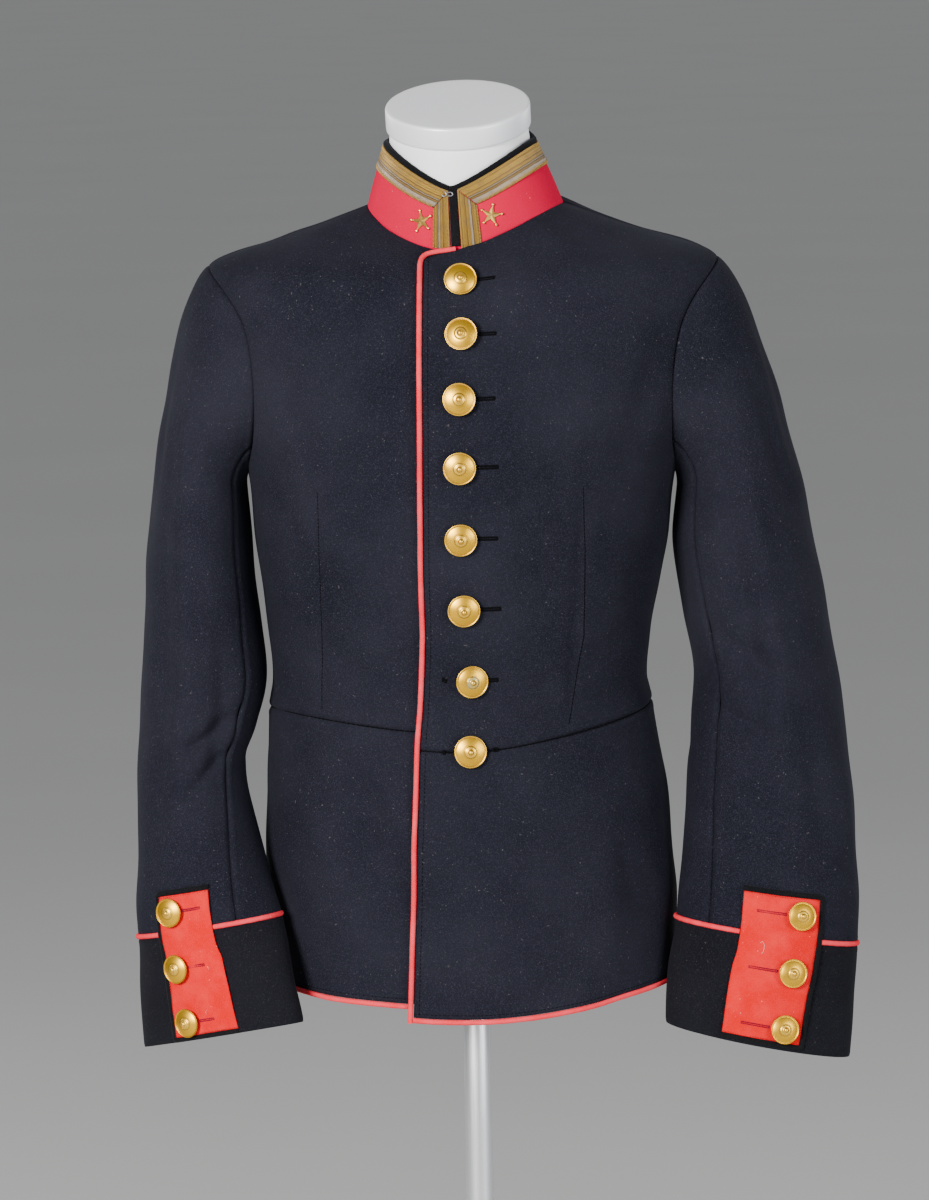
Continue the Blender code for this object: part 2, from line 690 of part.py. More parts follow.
cloth("collar_lace_top", LACE_TURNS, LACE_RISE, lace_top_point, middle_of_collar, "gold_lace", LACE_THICKNESS)


def lace_end_point(side, turn, level):
    """Point of the lace down a front end, mitred to the lace along the top."""
    near, far = LACE_LEFT if side == "left" else (LACE_RIGHT[1], LACE_RIGHT[0])
    part = (turn - near) / (far - near)
    top = LACE_RISE[1] + (LACE_RISE[0] - LACE_RISE[1]) * part - LACE_MITRE
    return collar_point(math.radians(turn), LACE_FOOT + (top - LACE_FOOT) * level, LACE_OUT)


for side, (low, high) in (("left", LACE_LEFT), ("right", LACE_RIGHT)):
    between = [math.degrees(turn) % 360.0 for turn in COLLAR_TURNS]
    between = [turn - 360.0 if turn > 180.0 else turn for turn in between]
    turns = [low] + sorted(turn for turn in between if low + 0.5 < turn < high - 0.5) + [high]
    cloth(f"collar_lace_end_{side}", turns, (0.0, 0.5, 1.0),
          lambda turn, level, side=side: lace_end_point(side, turn, level),
          middle_of_collar, "gold_lace", LACE_THICKNESS)

cloth("collar_band", collar_turns(BAND[0], BAND[1], 1), (LACE_FOOT, 0.5, 0.985),
      lambda turn, rise: collar_point(turn, rise, LACE_OUT), middle_of_collar, "black_cloth", LACE_THICKNESS)


def collar_cord_point(turn):
    top = collar_point(turn, 1.0, -COLLAR_WALL / 2.0)
    below = collar_point(turn, 0.9, -COLLAR_WALL / 2.0)
    return top + (top - below).normalized() * (COLLAR_CORD_RADIUS + SEAM)


cord("collar_cord", [collar_cord_point(turn) for turn in COLLAR_TURNS], COLLAR_CORD_RADIUS, "black_cloth")


def facing(point, away, yaw=0.0, pitch=0.0):
    """Placement at a point with Z facing away from the cloth and Y up, turned a little."""
    up = Vector((0.0, 0.0, 1.0))
    across = up.cross(away).normalized()
    upright = away.cross(across).normalized()
    frame = Matrix((across, upright, away)).transposed().to_4x4()
    tilt = Matrix.Rotation(math.radians(yaw), 4, "Y") @ Matrix.Rotation(math.radians(-pitch), 4, "X")
    return Matrix.Translation(point) @ frame @ tilt


for side, (turn, rise) in STARS.items():
    work = bmesh.new()
    bmesh.ops.create_cone(work, cap_ends=True, segments=10, radius1=STAR_RADIUS, radius2=0.0,
                          depth=STAR_HEIGHT)
    for vertex in work.verts:
        around = math.degrees(math.atan2(vertex.co.x, vertex.co.y))
        if vertex.co.xy.length > STAR_RADIUS / 2.0 and round(around / 36.0) % 2:
            vertex.co.xy *= STAR_WAIST
    bmesh.ops.remove_doubles(work, verts=work.verts, dist=MERGE)
    star = put(f"star_{side}", finished(f"star_{side}", work), "gilt", False)
    away = outward(collar_raw, math.radians(turn), rise)
    spot = collar_point(math.radians(turn), rise, SEAM + STAR_HEIGHT / 2.0)
    star.matrix_world = facing(spot, away)

hook_turn = math.radians(EYE_TURN)
hook_frame = facing(collar_point(hook_turn, HOOK_RISE, LACE_OUT + SEAM + HOOK_RADIUS),
                    outward(collar_raw, hook_turn, HOOK_RISE), HOOK_YAW)
for piece, wire in (("collar_eye", EYE_WIRE), ("collar_hook", HOOK_WIRE)):
    cord(piece, [hook_frame @ Vector((*at, 0.0)) for at in wire], HOOK_RADIUS, "white_metal")

# Piping of the front edge, from the collar to the hem, and of the hem
PIPE_OUT = LAP_GAP + PIPING_RADIUS
PIPE_SIDE = PIPING_RADIUS + SEAM
# Rounded top of the front piping: distance in from the edge and section.
PIPE_TOP = ((0.0250, 11.87), (0.0150, 11.73), (0.0065, 11.58), (0.0004, 11.38), (-0.0020, 11.15))
PIPE_ROWS = ((10.9, 10.6) + tuple(10.2 - 0.4 * number for number in range(18))
             + (3.0, 2.5, 2.0, 1.5, 1.0, 0.5, 0.0))


def front_pipe_point(away, row):
    turn = turn_at(along(EDGE, row) + away, row)
    return body_point(turn, row, PIPE_OUT)


pipe = [front_pipe_point(away, row) for away, row in PIPE_TOP]
pipe += [front_pipe_point(-PIPE_SIDE, row) for row in PIPE_ROWS]
pipe.append(pipe[-1] - Vector((0.0, 0.0, PIPE_SIDE + PIPING_RADIUS)))
cord("front_piping", pipe, PIPING_RADIUS, "red_piping")


def hem_points(side):
    """Middle of the hem piping, from the front edge round to the back seam."""
    columns = front_columns(side)
    if side == "right":
        columns = [("lap", -PIPE_SIDE - PIPING_RADIUS - LAP_GAP)] + columns[:len(FRONT_SHARES) - 1][::-1]
    line = [front_point(side, column, HEM, -WALL / 2.0) for column in columns]
    line += [back_point(side, part, HEM, -WALL / 2.0) for part in BACK_SHARES[1:-1]]
    last = back_point(side, BACK_SHARES[-1], HEM, -WALL / 2.0)
    line.append(last)
    return [point - Vector((0.0, 0.0, PIPE_SIDE)) for point in line]


for side in ("left", "right"):
    cord(f"hem_piping_{side}", hem_points(side), PIPING_RADIUS, "red_piping")


# Trim of the cuffs
def flap_at(side, row):
    """Directions in degrees of the flap's inner and outer side at a sleeve section."""
    rows = FLAP[side]
    inner = along(tuple((at, low) for at, low, high in rows), row)
    outer = along(tuple((at, high) for at, low, high in rows), row)
    return inner, outer


def flap_point(side, part, row, out):
    inner, outer = flap_at(side, row)
    return sleeve_point(side, math.radians(inner + (outer - inner) * part), row, out)


def flap_rows(side):
    top, kink, below, foot = (row for row, inner, outer in FLAP[side])
    return (top, (top + kink) / 2.0, kink, below, (below + foot) / 2.0, foot)


def beside(side, turn, row, across, down, out):
    """Point of a sleeve this far across and down from a direction in degrees and section."""
    step = 0.01
    angle = math.radians(turn)
    wide = (sleeve_raw(side, angle + step, row) - sleeve_raw(side, angle - step, row)).length / (2.0 * step)
    held = min(row, CUFF_END - 2.0 * step)
    long = (sleeve_raw(side, angle, held + step) - sleeve_raw(side, angle, held - step)).length / (2.0 * step)
    return sleeve_point(side, angle + across / wide, row + down / long, out)


FLAP_COLUMNS = (0.0, 0.25, 0.5, 0.75, 1.0)


def flap_edge_line(side):
    """Places round the flap's top, outer and bottom sides, and which way is out of the flap."""
    rows = flap_rows(side)
    top_inner, top_outer = flap_at(side, rows[0])
    foot_inner, foot_outer = flap_at(side, rows[-1])
    line = [(top_inner + (top_outer - top_inner) * part, rows[0], 0.0, -1.0) for part in FLAP_COLUMNS[:-1]]
    line += [(top_outer, rows[0], 1.0, -1.0)]
    line += [(flap_at(side, row)[1], row, 1.0, 0.0) for row in rows[1:-1]]
    line += [(foot_outer, rows[-1], 1.0, 1.0)]
    foot_width = foot_outer - foot_inner
    line += [(foot_inner + foot_width * part, rows[-1], 0.0, 1.0) for part in FLAP_COLUMNS[-2::-1]]
    return line


FLAP_OUT = FLAP_GAP + FLAP_WALL
CUFF_PIPE_OUT = PIPING_RADIUS + LAP_GAP
# How far from the flap the cuff's piping stops, in degrees, outside and inside.
PIPE_OUTER_TURN = 6.5
PIPE_INNER_TURN = 2.5
PIPE_STEPS = 26
for side in ("left", "right"):
    cloth(f"cuff_flap_{side}", FLAP_COLUMNS, flap_rows(side),
          lambda part, row, side=side: flap_point(side, part, row, FLAP_OUT),
          centre_of_sleeve(side), "red_cloth", FLAP_WALL)
    cloth(f"flap_edge_{side}", (SEAM, FLAP_EDGE), flap_edge_line(side),
          lambda away, at, side=side: beside(side, at[0], at[1], away * at[2], away * at[3],
                                             FLAP_GAP + FLAP_EDGE_WALL),
          centre_of_sleeve(side), "black_cloth", FLAP_EDGE_WALL)
    inner, outer = flap_at(side, CUFF_ROW)
    first = outer + PIPE_OUTER_TURN
    last = 360.0 + inner - PIPE_INNER_TURN
    turns = [first + (last - first) * number / PIPE_STEPS for number in range(PIPE_STEPS + 1)]
    line = [sleeve_point(side, math.radians(turn), CUFF_ROW, CUFF_PIPE_OUT) for turn in turns]
    cord(f"cuff_piping_{side}", line, PIPING_RADIUS, "red_piping")

# Buttons
FOOT_RADIUS = BUTTON[-2][0]
BUTTON_SEAT = SEAM + 0.0002
for number, button in enumerate(FRONT_BUTTONS, 1):
    row = 6.0
    for _ in range(6):
        turn = turn_at(button.across, row)
        row = row_at(turn, button.height)
    away = outward(lambda a, b: body_raw(a, b, 0.0), turn, row)
    lift = FOOT_RADIUS * math.sin(math.radians(abs(button.yaw) + abs(button.pitch)))
    spot = body_point(turn, row, LAP_GAP + WALL + BUTTON_SEAT + lift)
    front_button = turned(f"button_{number}", BUTTON, BUTTON_STEPS, "gilt")
    front_button.matrix_world = facing(spot, away, button.yaw, button.pitch)
for side in ("left", "right"):
    for number, (turn, row) in enumerate(CUFF_BUTTONS[side], 1):
        angle = math.radians(turn)
        away = (sleeve_point(side, angle, row, 0.001) - sleeve_point(side, angle, row)).normalized()
        spot = sleeve_point(side, angle, row, FLAP_OUT + BUTTON_SEAT)
        cuff_button = turned(f"cuff_button_{side}_{number}", BUTTON, BUTTON_STEPS, "gilt", CUFF_BUTTON_SCALE)
        cuff_button.matrix_world = facing(spot, away)

# Stand: form, neck cap, pole and base
FORM_STEPS = 28
FORM_ROWS = (1.35, 2.0, 3.0, 4.0, 5.0, 6.0, 7.0, 8.0, 8.8, 9.4, 9.8, 10.0, 10.3, 10.7, 11.0, 11.3, 11.6, 12.0)
FORM_FOOT = 0.912
FORM_FOOT_SHARE = 0.95
cap_frame = (Matrix.Translation(CAP_FOOT) @ Matrix.Rotation(math.radians(CAP_LIST), 4, "Y")
             @ Matrix.Rotation(math.radians(CAP_TILT), 4, "X"))


def form_inset(row):
    """How far the form's side is inside the cloth."""
    shoulder = FORM_SHOULDER * smooth(8.0, 9.6, row) * smooth(11.8, 10.8, row)
    return WALL + FORM_CLEARANCE + shoulder + FORM_EASE * smooth(9.0, 5.0, row)


def form_point(turn, level):
    """Point of the form: the foot, the body's sections, the neck's sections, and the neck's flat top."""
    kind, row = level
    if kind == "foot":
        point = body_point(turn, row, -form_inset(row))
        return Vector((point.x * FORM_FOOT_SHARE, point.y * FORM_FOOT_SHARE, FORM_FOOT))
    if kind == "body":
        return body_point(turn, row, -form_inset(row))
    if kind == "neck":
        return on_section(NECK[row], turn)
    return cap_frame @ Vector((NECK_TOP * math.sin(turn), -NECK_TOP * math.cos(turn), -SEAM))


def form_mesh():
    turns = [2.0 * math.pi * number / FORM_STEPS for number in range(FORM_STEPS + 1)]
    levels = [("foot", FORM_ROWS[0])] + [("body", row) for row in FORM_ROWS]
    levels += [("neck", number) for number in range(len(NECK))] + [("top", 0)]
    work = grid_mesh("form_torso", turns, levels, form_point, lambda at: Vector((at.x, at.y, 0.0)))
    bmesh.ops.remove_doubles(work, verts=work.verts, dist=MERGE)
    edges = [edge for edge in work.edges if edge.is_boundary]
    bmesh.ops.holes_fill(work, edges=edges, sides=0)
    bmesh.ops.recalc_face_normals(work, faces=work.faces)
    return finished("form_torso", work)


def disc(piece, radius, height, segments, bevel, finish):
    """A round piece standing on its own XY plane."""
    work = bmesh.new()
    bmesh.ops.create_cone(work, cap_ends=True, segments=segments, radius1=radius, radius2=radius,
                          depth=height)
    for vertex in work.verts:
        vertex.co.z += height / 2.0
    thing = put(piece, finished(piece, work), finish)
    if bevel:
        rounded = thing.modifiers.new("Round", "BEVEL")
        rounded.width = bevel
        rounded.segments = 1
        rounded.limit_method = "ANGLE"
    return thing


put("form_torso", form_mesh(), "white_form")
disc("neck_cap", CAP_RADIUS, CAP_HEIGHT, 32, CAP_BEVEL, "silver_paint").matrix_world = cap_frame
pole = disc("stand_pole", POLE_RADIUS, FORM_FOOT - BASE_HEIGHT - 2.0 * SEAM, 24, 0.0, "brushed_metal")
pole.matrix_world = Matrix.Translation((0.0, 0.0, BASE_HEIGHT + SEAM))
disc("stand_base", BASE_RADIUS, BASE_HEIGHT, 48, BASE_BEVEL, "brushed_metal")
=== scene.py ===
"""Looks of a short dark dress tunic on a limbless form: wool, piping, lace, cuffs and gilt buttons.

Metres, +Z up, the front faces -Y, and the wearer's left is +X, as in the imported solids.
"""

import json
import math
from collections import namedtuple

import bmesh
import bpy
import numpy as np
from mathutils import Matrix, Vector

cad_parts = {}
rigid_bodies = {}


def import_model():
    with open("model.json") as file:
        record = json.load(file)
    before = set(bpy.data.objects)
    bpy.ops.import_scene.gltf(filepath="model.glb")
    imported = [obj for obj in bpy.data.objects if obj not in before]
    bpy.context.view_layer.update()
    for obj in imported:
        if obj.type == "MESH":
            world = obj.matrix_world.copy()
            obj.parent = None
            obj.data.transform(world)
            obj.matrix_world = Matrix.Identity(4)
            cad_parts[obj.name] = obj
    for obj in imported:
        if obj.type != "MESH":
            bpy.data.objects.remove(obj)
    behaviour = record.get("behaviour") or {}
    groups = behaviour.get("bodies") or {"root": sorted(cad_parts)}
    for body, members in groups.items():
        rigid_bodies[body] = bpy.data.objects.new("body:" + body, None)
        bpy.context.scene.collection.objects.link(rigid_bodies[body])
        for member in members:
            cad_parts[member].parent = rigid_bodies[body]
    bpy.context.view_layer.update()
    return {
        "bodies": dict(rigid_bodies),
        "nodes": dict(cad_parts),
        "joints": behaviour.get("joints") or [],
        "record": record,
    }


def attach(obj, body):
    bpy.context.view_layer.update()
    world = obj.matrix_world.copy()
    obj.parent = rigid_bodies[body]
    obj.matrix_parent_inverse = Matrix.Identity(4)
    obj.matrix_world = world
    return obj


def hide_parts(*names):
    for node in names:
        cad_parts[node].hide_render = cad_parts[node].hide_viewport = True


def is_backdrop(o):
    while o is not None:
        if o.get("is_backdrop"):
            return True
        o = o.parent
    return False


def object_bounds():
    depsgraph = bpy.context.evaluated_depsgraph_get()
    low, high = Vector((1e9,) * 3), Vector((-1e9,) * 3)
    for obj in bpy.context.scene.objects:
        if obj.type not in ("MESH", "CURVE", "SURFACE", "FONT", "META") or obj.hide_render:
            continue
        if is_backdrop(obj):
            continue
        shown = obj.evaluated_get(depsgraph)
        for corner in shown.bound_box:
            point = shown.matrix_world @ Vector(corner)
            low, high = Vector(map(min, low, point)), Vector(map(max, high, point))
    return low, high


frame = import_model()

# Cloth
WALL = 0.0020
COLLAR_WALL = 0.0022
LACE_THICKNESS = 0.0008
SEAM = 0.0003
# Overlap of the panels down in their seams
JOIN = 0.0004
SLEEVE_TUCK = 0.0026
# Degrees by which the edges of back and front lie over the sleeve.
AFT_LAP = 0.6
FORE_LAP = 0.4
LAP_GAP = 0.0005
PIPING_RADIUS = 0.0021
COLLAR_CORD_RADIUS = 0.0019
MIRROR = {"left": 1.0, "right": -1.0}

# Body sections from the hem to the neckline: heights at the side, front and back, half-width at the
# side, depth ahead of and behind the middle, fullness, sideways shift, direction of the lowest point.
BODY = np.array((
    (0.829, 0.813, 0.834, 0.1655, 0.128, 0.136, 2.25, -0.0030, 0.0),
    (0.900, 0.886, 0.900, 0.1645, 0.124, 0.131, 2.25, -0.0025, 0.0),
    (0.972, 0.958, 0.970, 0.1610, 0.117, 0.120, 2.20, -0.0045, 0.0),
    (1.043, 1.023, 1.038, 0.1530, 0.110, 0.104, 2.15, -0.0080, 0.0),
    (1.068, 1.056, 1.062, 0.1495, 0.110, 0.100, 2.15, -0.0085, 0.0),
    (1.105, 1.100, 1.102, 0.1525, 0.113, 0.102, 2.15, -0.0070, 0.0),
    (1.165, 1.162, 1.165, 0.1630, 0.119, 0.109, 2.20, -0.0050, 0.0),
    (1.232, 1.228, 1.235, 0.1700, 0.125, 0.115, 2.25, -0.0040, 0.0),
    (1.290, 1.283, 1.297, 0.1840, 0.126, 0.117, 2.25, -0.0020, 0.0),
    (1.350, 1.337, 1.362, 0.1970, 0.118, 0.109, 2.25, 0.0000, 0.0),
    (1.3985, 1.376, 1.412, 0.2012, 0.104, 0.091, 2.20, 0.0005, -2.0),
    (1.4205, 1.399, 1.440, 0.1400, 0.087, 0.077, 2.10, 0.0010, -5.0),
    (1.444, 1.413, 1.462, 0.0770, 0.070, 0.066, 2.00, 0.0030, -9.0),
))
SIDE, FRONT, BACK, HALF, FORE, AFT, FULL, SHIFT, LOW = range(9)
HEM = 0.0
WAIST = 3.0
ARMPIT = 7.0
SHOULDER = 10.0
NECKLINE = 12.0
COLLAR_TOP = np.array((1.491, 1.4578, 1.508, 0.0595, 0.0580, 0.060, 2.00, 0.0000, -8.0))
# How pointed the dip of the collar's top is at the front: 2 is round, 1 is a sharp V
COLLAR_POINT = 1.25
COLLAR_HEIGHT = 0.052
COLLAR_BULGE = 0.0006
SLOPE_GAP = 0.0011
ARMHOLE_FORE = 23.0
ARMHOLE_AFT = 25.0

# Front edge of the upper front: section and distance from the middle.
EDGE = np.array(((0.0, -0.0495), (1.0, -0.0460), (2.0, -0.0430), (3.0, -0.0400), (4.3, -0.0365), (5.3, -0.0340),
                 (6.2, -0.0345), (10.6, -0.0310), (12.0, -0.0300)))
UNDERLAP = 0.055
LAP_FADE = 0.060
RISE = 0.0140
RISE_ENDS = 6.0
# Rounded upper corner of the upper front: distance in from the edge and highest section.
CORNER = np.array(((0.000, 11.15), (0.002, 11.29), (0.006, 11.43), (0.014, 11.59), (0.024, 11.73), (0.034, 12.00)))

# Folds of the skirt: direction in degrees, spread in degrees, lowest and highest section, depth.
Fold = namedtuple("Fold", "turn spread low high depth")
FOLDS = (
    Fold(-72.0, 9.0, -1.5, 2.6, -0.0050),
    Fold(-50.0, 11.0, -1.5, 2.4, 0.0030),
    Fold(52.0, 9.0, -1.5, 2.0, -0.0032),
    Fold(70.0, 9.0, -1.5, 2.2, 0.0025),
    Fold(150.0, 12.0, -1.5, 2.2, 0.0040),
    Fold(-150.0, 12.0, -1.5, 2.2, 0.0036),
    Fold(180.0, 9.0, -1.5, 2.0, -0.0040),
)

# Sleeve sections from below the armhole to the cuff's edge: height, distance to the side and ahead,
# half-width, half-depth, rise to the outside and the front, turn of its front to the outside.
SLEEVE = {
    "right": np.array((
        (1.245, 0.2085, 0.000, 0.0345, 0.0610, 0.70, 0.00, 0.0),
        (1.190, 0.2118, -0.004, 0.0405, 0.0655, 0.35, 0.00, 0.0),
        (1.120, 0.2134, -0.001, 0.0461, 0.0660, 0.10, 0.00, 0.0),
        (1.070, 0.2130, 0.003, 0.0502, 0.0640, 0.00, 0.03, 0.0),
        (1.030, 0.2185, 0.009, 0.0472, 0.0615, -0.05, 0.05, 0.0),
        (1.000, 0.2238, 0.015, 0.0432, 0.0600, -0.09, 0.07, 0.0),
        (0.960, 0.2218, 0.028, 0.0462, 0.0570, -0.13, 0.10, 6.0),
        (0.920, 0.2176, 0.043, 0.0515, 0.0500, -0.15, 0.13, 15.0),
        (0.878, 0.2115, 0.060, 0.0614, 0.0420, -0.16, 0.16, 28.0),
        (0.837, 0.2063, 0.073, 0.0700, 0.0360, -0.16, 0.19, 33.0),
        (0.794, 0.2015, 0.083, 0.0770, 0.0320, -0.16, 0.21, 35.0),
    )),
    "left": np.array((
        (1.245, 0.2105, 0.000, 0.0425, 0.0610, 0.70, 0.00, 0.0),
        (1.190, 0.2165, -0.004, 0.0530, 0.0660, 0.35, 0.00, 0.0),
        (1.120, 0.2278, -0.003, 0.0573, 0.0670, 0.10, 0.00, 0.0),
        (1.070, 0.2364, 0.000, 0.0574, 0.0660, 0.00, 0.02, 0.0),
        (1.030, 0.2382, 0.004, 0.0612, 0.0650, -0.05, 0.03, 0.0),
        (1.000, 0.2387, 0.008, 0.0638, 0.0620, -0.08, 0.05, 0.0),
        (0.960, 0.2385, 0.0175, 0.0676, 0.0580, -0.12, 0.07, 0.0),
        (0.921, 0.2372, 0.0290, 0.0701, 0.0530, -0.15, 0.09, 2.0),
        (0.863, 0.2328, 0.0480, 0.0725, 0.0460, -0.175, 0.10, 5.0),
        (0.822, 0.2276, 0.060, 0.0742, 0.0420, -0.20, 0.09, 6.0),
        (0.779, 0.2240, 0.0700, 0.0746, 0.0400, -0.22, 0.07, 6.0),
    )),
}
CUFF_ROW = 9.0
CUFF_END = 11.0
FORE_SEAM = -45.0
HIND_SEAM = 157.5

# Buttons of the front: distance from the middle, height, and turns in degrees to the side and up.
Button = namedtuple("Button", "across height yaw pitch")
FRONT_BUTTONS = (
    Button(-0.0019, 1.3897, 0.0, -15.0),
    Button(-0.0018, 1.3504, -9.0, 0.0),
    Button(-0.0048, 1.3020, 0.0, 0.0),
    Button(-0.0054, 1.2497, 0.0, 0.0),
    Button(-0.0056, 1.1934, 2.0, 0.0),
    Button(-0.0043, 1.1373, 3.0, 0.0),
    Button(0.0005, 1.0804, 10.0, 2.0),
    Button(-0.0014, 1.0237, 4.0, 0.0),
)
# Buttons of the cuffs: direction in degrees and sleeve section.
CUFF_BUTTONS = {
    "right": ((7.5, 8.62), (5.7, 9.67), (3.4, 10.60)),
    "left": ((15.3, 8.68), (11.6, 9.60), (9.2, 10.56)),
}
# Outline of the cuff flaps: sleeve section, and direction of the inner and outer side.
FLAP = {
    "right": np.array(((8.32, -23.3, 20.2), (9.33, -26.2, 15.8), (9.57, -28.2, 15.6), (10.86, -29.8, 15.5))),
    "left": np.array(((8.46, -20.6, 28.9), (9.35, -23.1, 25.8), (9.58, -24.7, 24.9), (10.80, -28.2, 19.4))),
}
FLAP_WALL = 0.0018
FLAP_GAP = 0.0008
FLAP_EDGE = 0.0040
FLAP_EDGE_WALL = 0.0014

# Collar trim, by direction in degrees and share of the collar's height
COLLAR_OPEN = -9.5
COLLAR_SPLIT = 0.5
BAND = (-9.0, -3.3)
LACE_LEFT = (-2.9, 10.1)
LACE_RIGHT = (-21.3, -10.2)
LACE_RISE = (0.625, 0.985)
LACE_FOOT = 0.045
LACE_FOOT_SEEN = 0.0
STARS = {"left": (18.4, 0.375), "right": (-29.4, 0.350)}
EYE_TURN = -13.0
HOOK_RISE = 0.90

# Form, neck and stand
FORM_CLEARANCE = 0.0015
FORM_SHOULDER = 0.0022
FORM_EASE = 0.0050
NECK = np.array((
    (1.4680, 1.4480, 1.4760, 0.0605, 0.0550, 0.0560, 2.0, 0.0010, 0.0),
    (1.4850, 1.4700, 1.4960, 0.0560, 0.0530, 0.0540, 2.0, 0.0000, 0.0),
))
NECK_TOP = 0.0545
CAP_FOOT = (-0.0010, 0.0012, 1.5043)
CAP_RADIUS = 0.0572
CAP_HEIGHT = 0.0185
CAP_TILT = 16.5
CAP_LIST = -2.0
POLE_RADIUS = 0.0112
BASE_RADIUS = 0.170
BASE_HEIGHT = 0.010
FORM_FOOT = 0.912

# How far a row of the model runs on past the waist and cuff seams
SEAM_ROW = 0.012


def blend(rows, at):
    """Rows between the rows of a table, on a smooth curve through them."""
    at = np.clip(np.asarray(at, float), 0.0, len(rows) - 1.0)
    low = np.minimum(at.astype(int), len(rows) - 2)
    part = (at - low)[..., None]
    before = rows[np.maximum(low - 1, 0)]
    first = rows[low]
    second = rows[low + 1]
    after = rows[np.minimum(low + 2, len(rows) - 1)]
    start = (second - before) / 2.0
    end = (after - first) / 2.0
    cube = 2.0 * first - 2.0 * second + start + end
    square = 3.0 * second - 3.0 * first - 2.0 * start - end
    return ((cube * part + square) * part + start) * part + first


def smooth(low, high, value):
    part = np.clip((value - low) / (high - low), 0.0, 1.0)
    return part * part * (3.0 - 2.0 * part)


def along(table, at):
    return np.interp(at, table[:, 0], table[:, 1])


def reach(section, turn):
    ahead = np.cos(turn)
    depth = np.where(ahead > 0.0, section[..., FORE], section[..., AFT])
    full = section[..., FULL]
    return (np.abs(np.sin(turn) / section[..., HALF]) ** full + np.abs(ahead / depth) ** full) ** (-1.0 / full)


def on_section(section, turn):
    size = reach(section, turn)
    lean = np.cos(turn - np.radians(section[..., LOW]))
    end = np.where(lean > 0.0, section[..., FRONT], section[..., BACK])
    height = section[..., SIDE] + (end - section[..., SIDE]) * lean * lean
    return np.stack((section[..., SHIFT] + size * np.sin(turn), -size * np.cos(turn), height), -1)


def fold_depth(turn, row):
    depth = np.zeros(np.broadcast(turn, row).shape)
    for fold in FOLDS:
        away = (np.degrees(turn) - fold.turn + 180.0) % 360.0 - 180.0
        level = smooth(fold.high, fold.low, row)
        depth += fold.depth * np.exp(-((away / fold.spread) ** 2)) * level
    return depth


def body_raw(turn, row, rise=0.0):
    turn, row = np.broadcast_arrays(turn, row)
    point = on_section(blend(BODY, row), turn)
    if rise:
        lifted = rise * np.maximum(np.cos(turn), 0.0) * (1.0 - smooth(WAIST, RISE_ENDS, row))
        above = on_section(blend(BODY, row + 0.5), turn)
        step = np.maximum(above[..., 2] - point[..., 2], 0.001)
        point = on_section(blend(BODY, row + 0.5 * lifted / step), turn)
    size = np.hypot(point[..., 0], point[..., 1])
    push = 1.0 + fold_depth(turn, row) / np.maximum(size, 0.01)
    return np.stack((point[..., 0] * push, point[..., 1] * push, point[..., 2]), -1)


def outward(surface, first, second, step=0.002):
    across = surface(first + step, second) - surface(first - step, second)
    up = surface(first, second + step) - surface(first, second - step)
    away = np.cross(across, up)
    return away / np.linalg.norm(away, axis=-1, keepdims=True)


def body_point(turn, row, out=0.0, rise=0.0):
    held = np.clip(row, 0.003, NECKLINE - 0.003)
    away = outward(lambda a, b: body_raw(a, b, rise), np.asarray(turn, float), held)
    return body_raw(turn, row, rise) + away * np.asarray(out)[..., None]


def turn_at(across, row):
    """Direction in which the front of a section is this far from the middle."""
    section = blend(BODY, row)
    turn = np.zeros(np.broadcast(across, row).shape)
    for _ in range(24):
        turn = np.arcsin(np.clip((across - section[..., SHIFT]) / reach(section, turn), -1.0, 1.0))
    return turn


def row_at(turn, height):
    low = np.full(np.shape(turn), HEM)
    high = np.full(np.shape(turn), NECKLINE)
    for _ in range(24):
        middle = (low + high) / 2.0
        under = body_raw(turn, middle)[..., 2] < height
        low = np.where(under, middle, low)
        high = np.where(under, high, middle)
    return (low + high) / 2.0


def place_at(across, height):
    """Directions and sections of places on the front."""
    row = np.full(np.shape(across), 6.0)
    for _ in range(6):
        turn = turn_at(across, row)
        row = row_at(turn, height)
    return turn, row


def side_turn(row, opening):
    """Angle in radians from the side at which a panel ends."""
    part = (row - (ARMPIT + SHOULDER) / 2.0) / ((SHOULDER - ARMPIT) / 2.0)
    bow = np.sqrt(np.clip(1.0 - part * part, 0.0, 1.0))
    return np.where(bow > 0.0, np.radians(opening * bow), -JOIN / 2.0 / blend(BODY, row)[..., HALF])


def front_point(side, lap, share, row, out=0.0):
    """Point of a front: its distance in from the edge under or over the lap, or its share of the rest."""
    top = np.where(share > 0.0, NECKLINE, along(CORNER, lap)) if side == "left" else NECKLINE
    row = np.where(row > 11.0, 11.0 + (row - 11.0) * (top - 11.0), row)
    edge = along(EDGE, row)
    start = turn_at(edge + (UNDERLAP if side == "left" else 0.0), row)
    end = MIRROR[side] * (math.pi / 2.0 - side_turn(row, ARMHOLE_FORE - FORE_LAP))
    turn = np.where(share > 0.0, start + (end - start) * share, turn_at(edge + lap, row))
    across = np.where(share > 0.0, blend(BODY, row)[..., HALF] * np.abs(np.sin(turn) - np.sin(start)) + UNDERLAP, lap)
    if side == "left":
        out = out + (WALL + LAP_GAP) * (1.0 - smooth(UNDERLAP + 0.003, UNDERLAP + LAP_FADE, across))
    return body_point(turn, row, out, RISE if side == "right" else 0.0)


def back_point(side, part, row, out=0.0):
    start = math.pi / 2.0 + side_turn(row, ARMHOLE_AFT - AFT_LAP)
    end = math.pi + JOIN / 2.0 / blend(BODY, row)[..., AFT]
    return body_point(MIRROR[side] * (start + (end - start) * part), row, out)


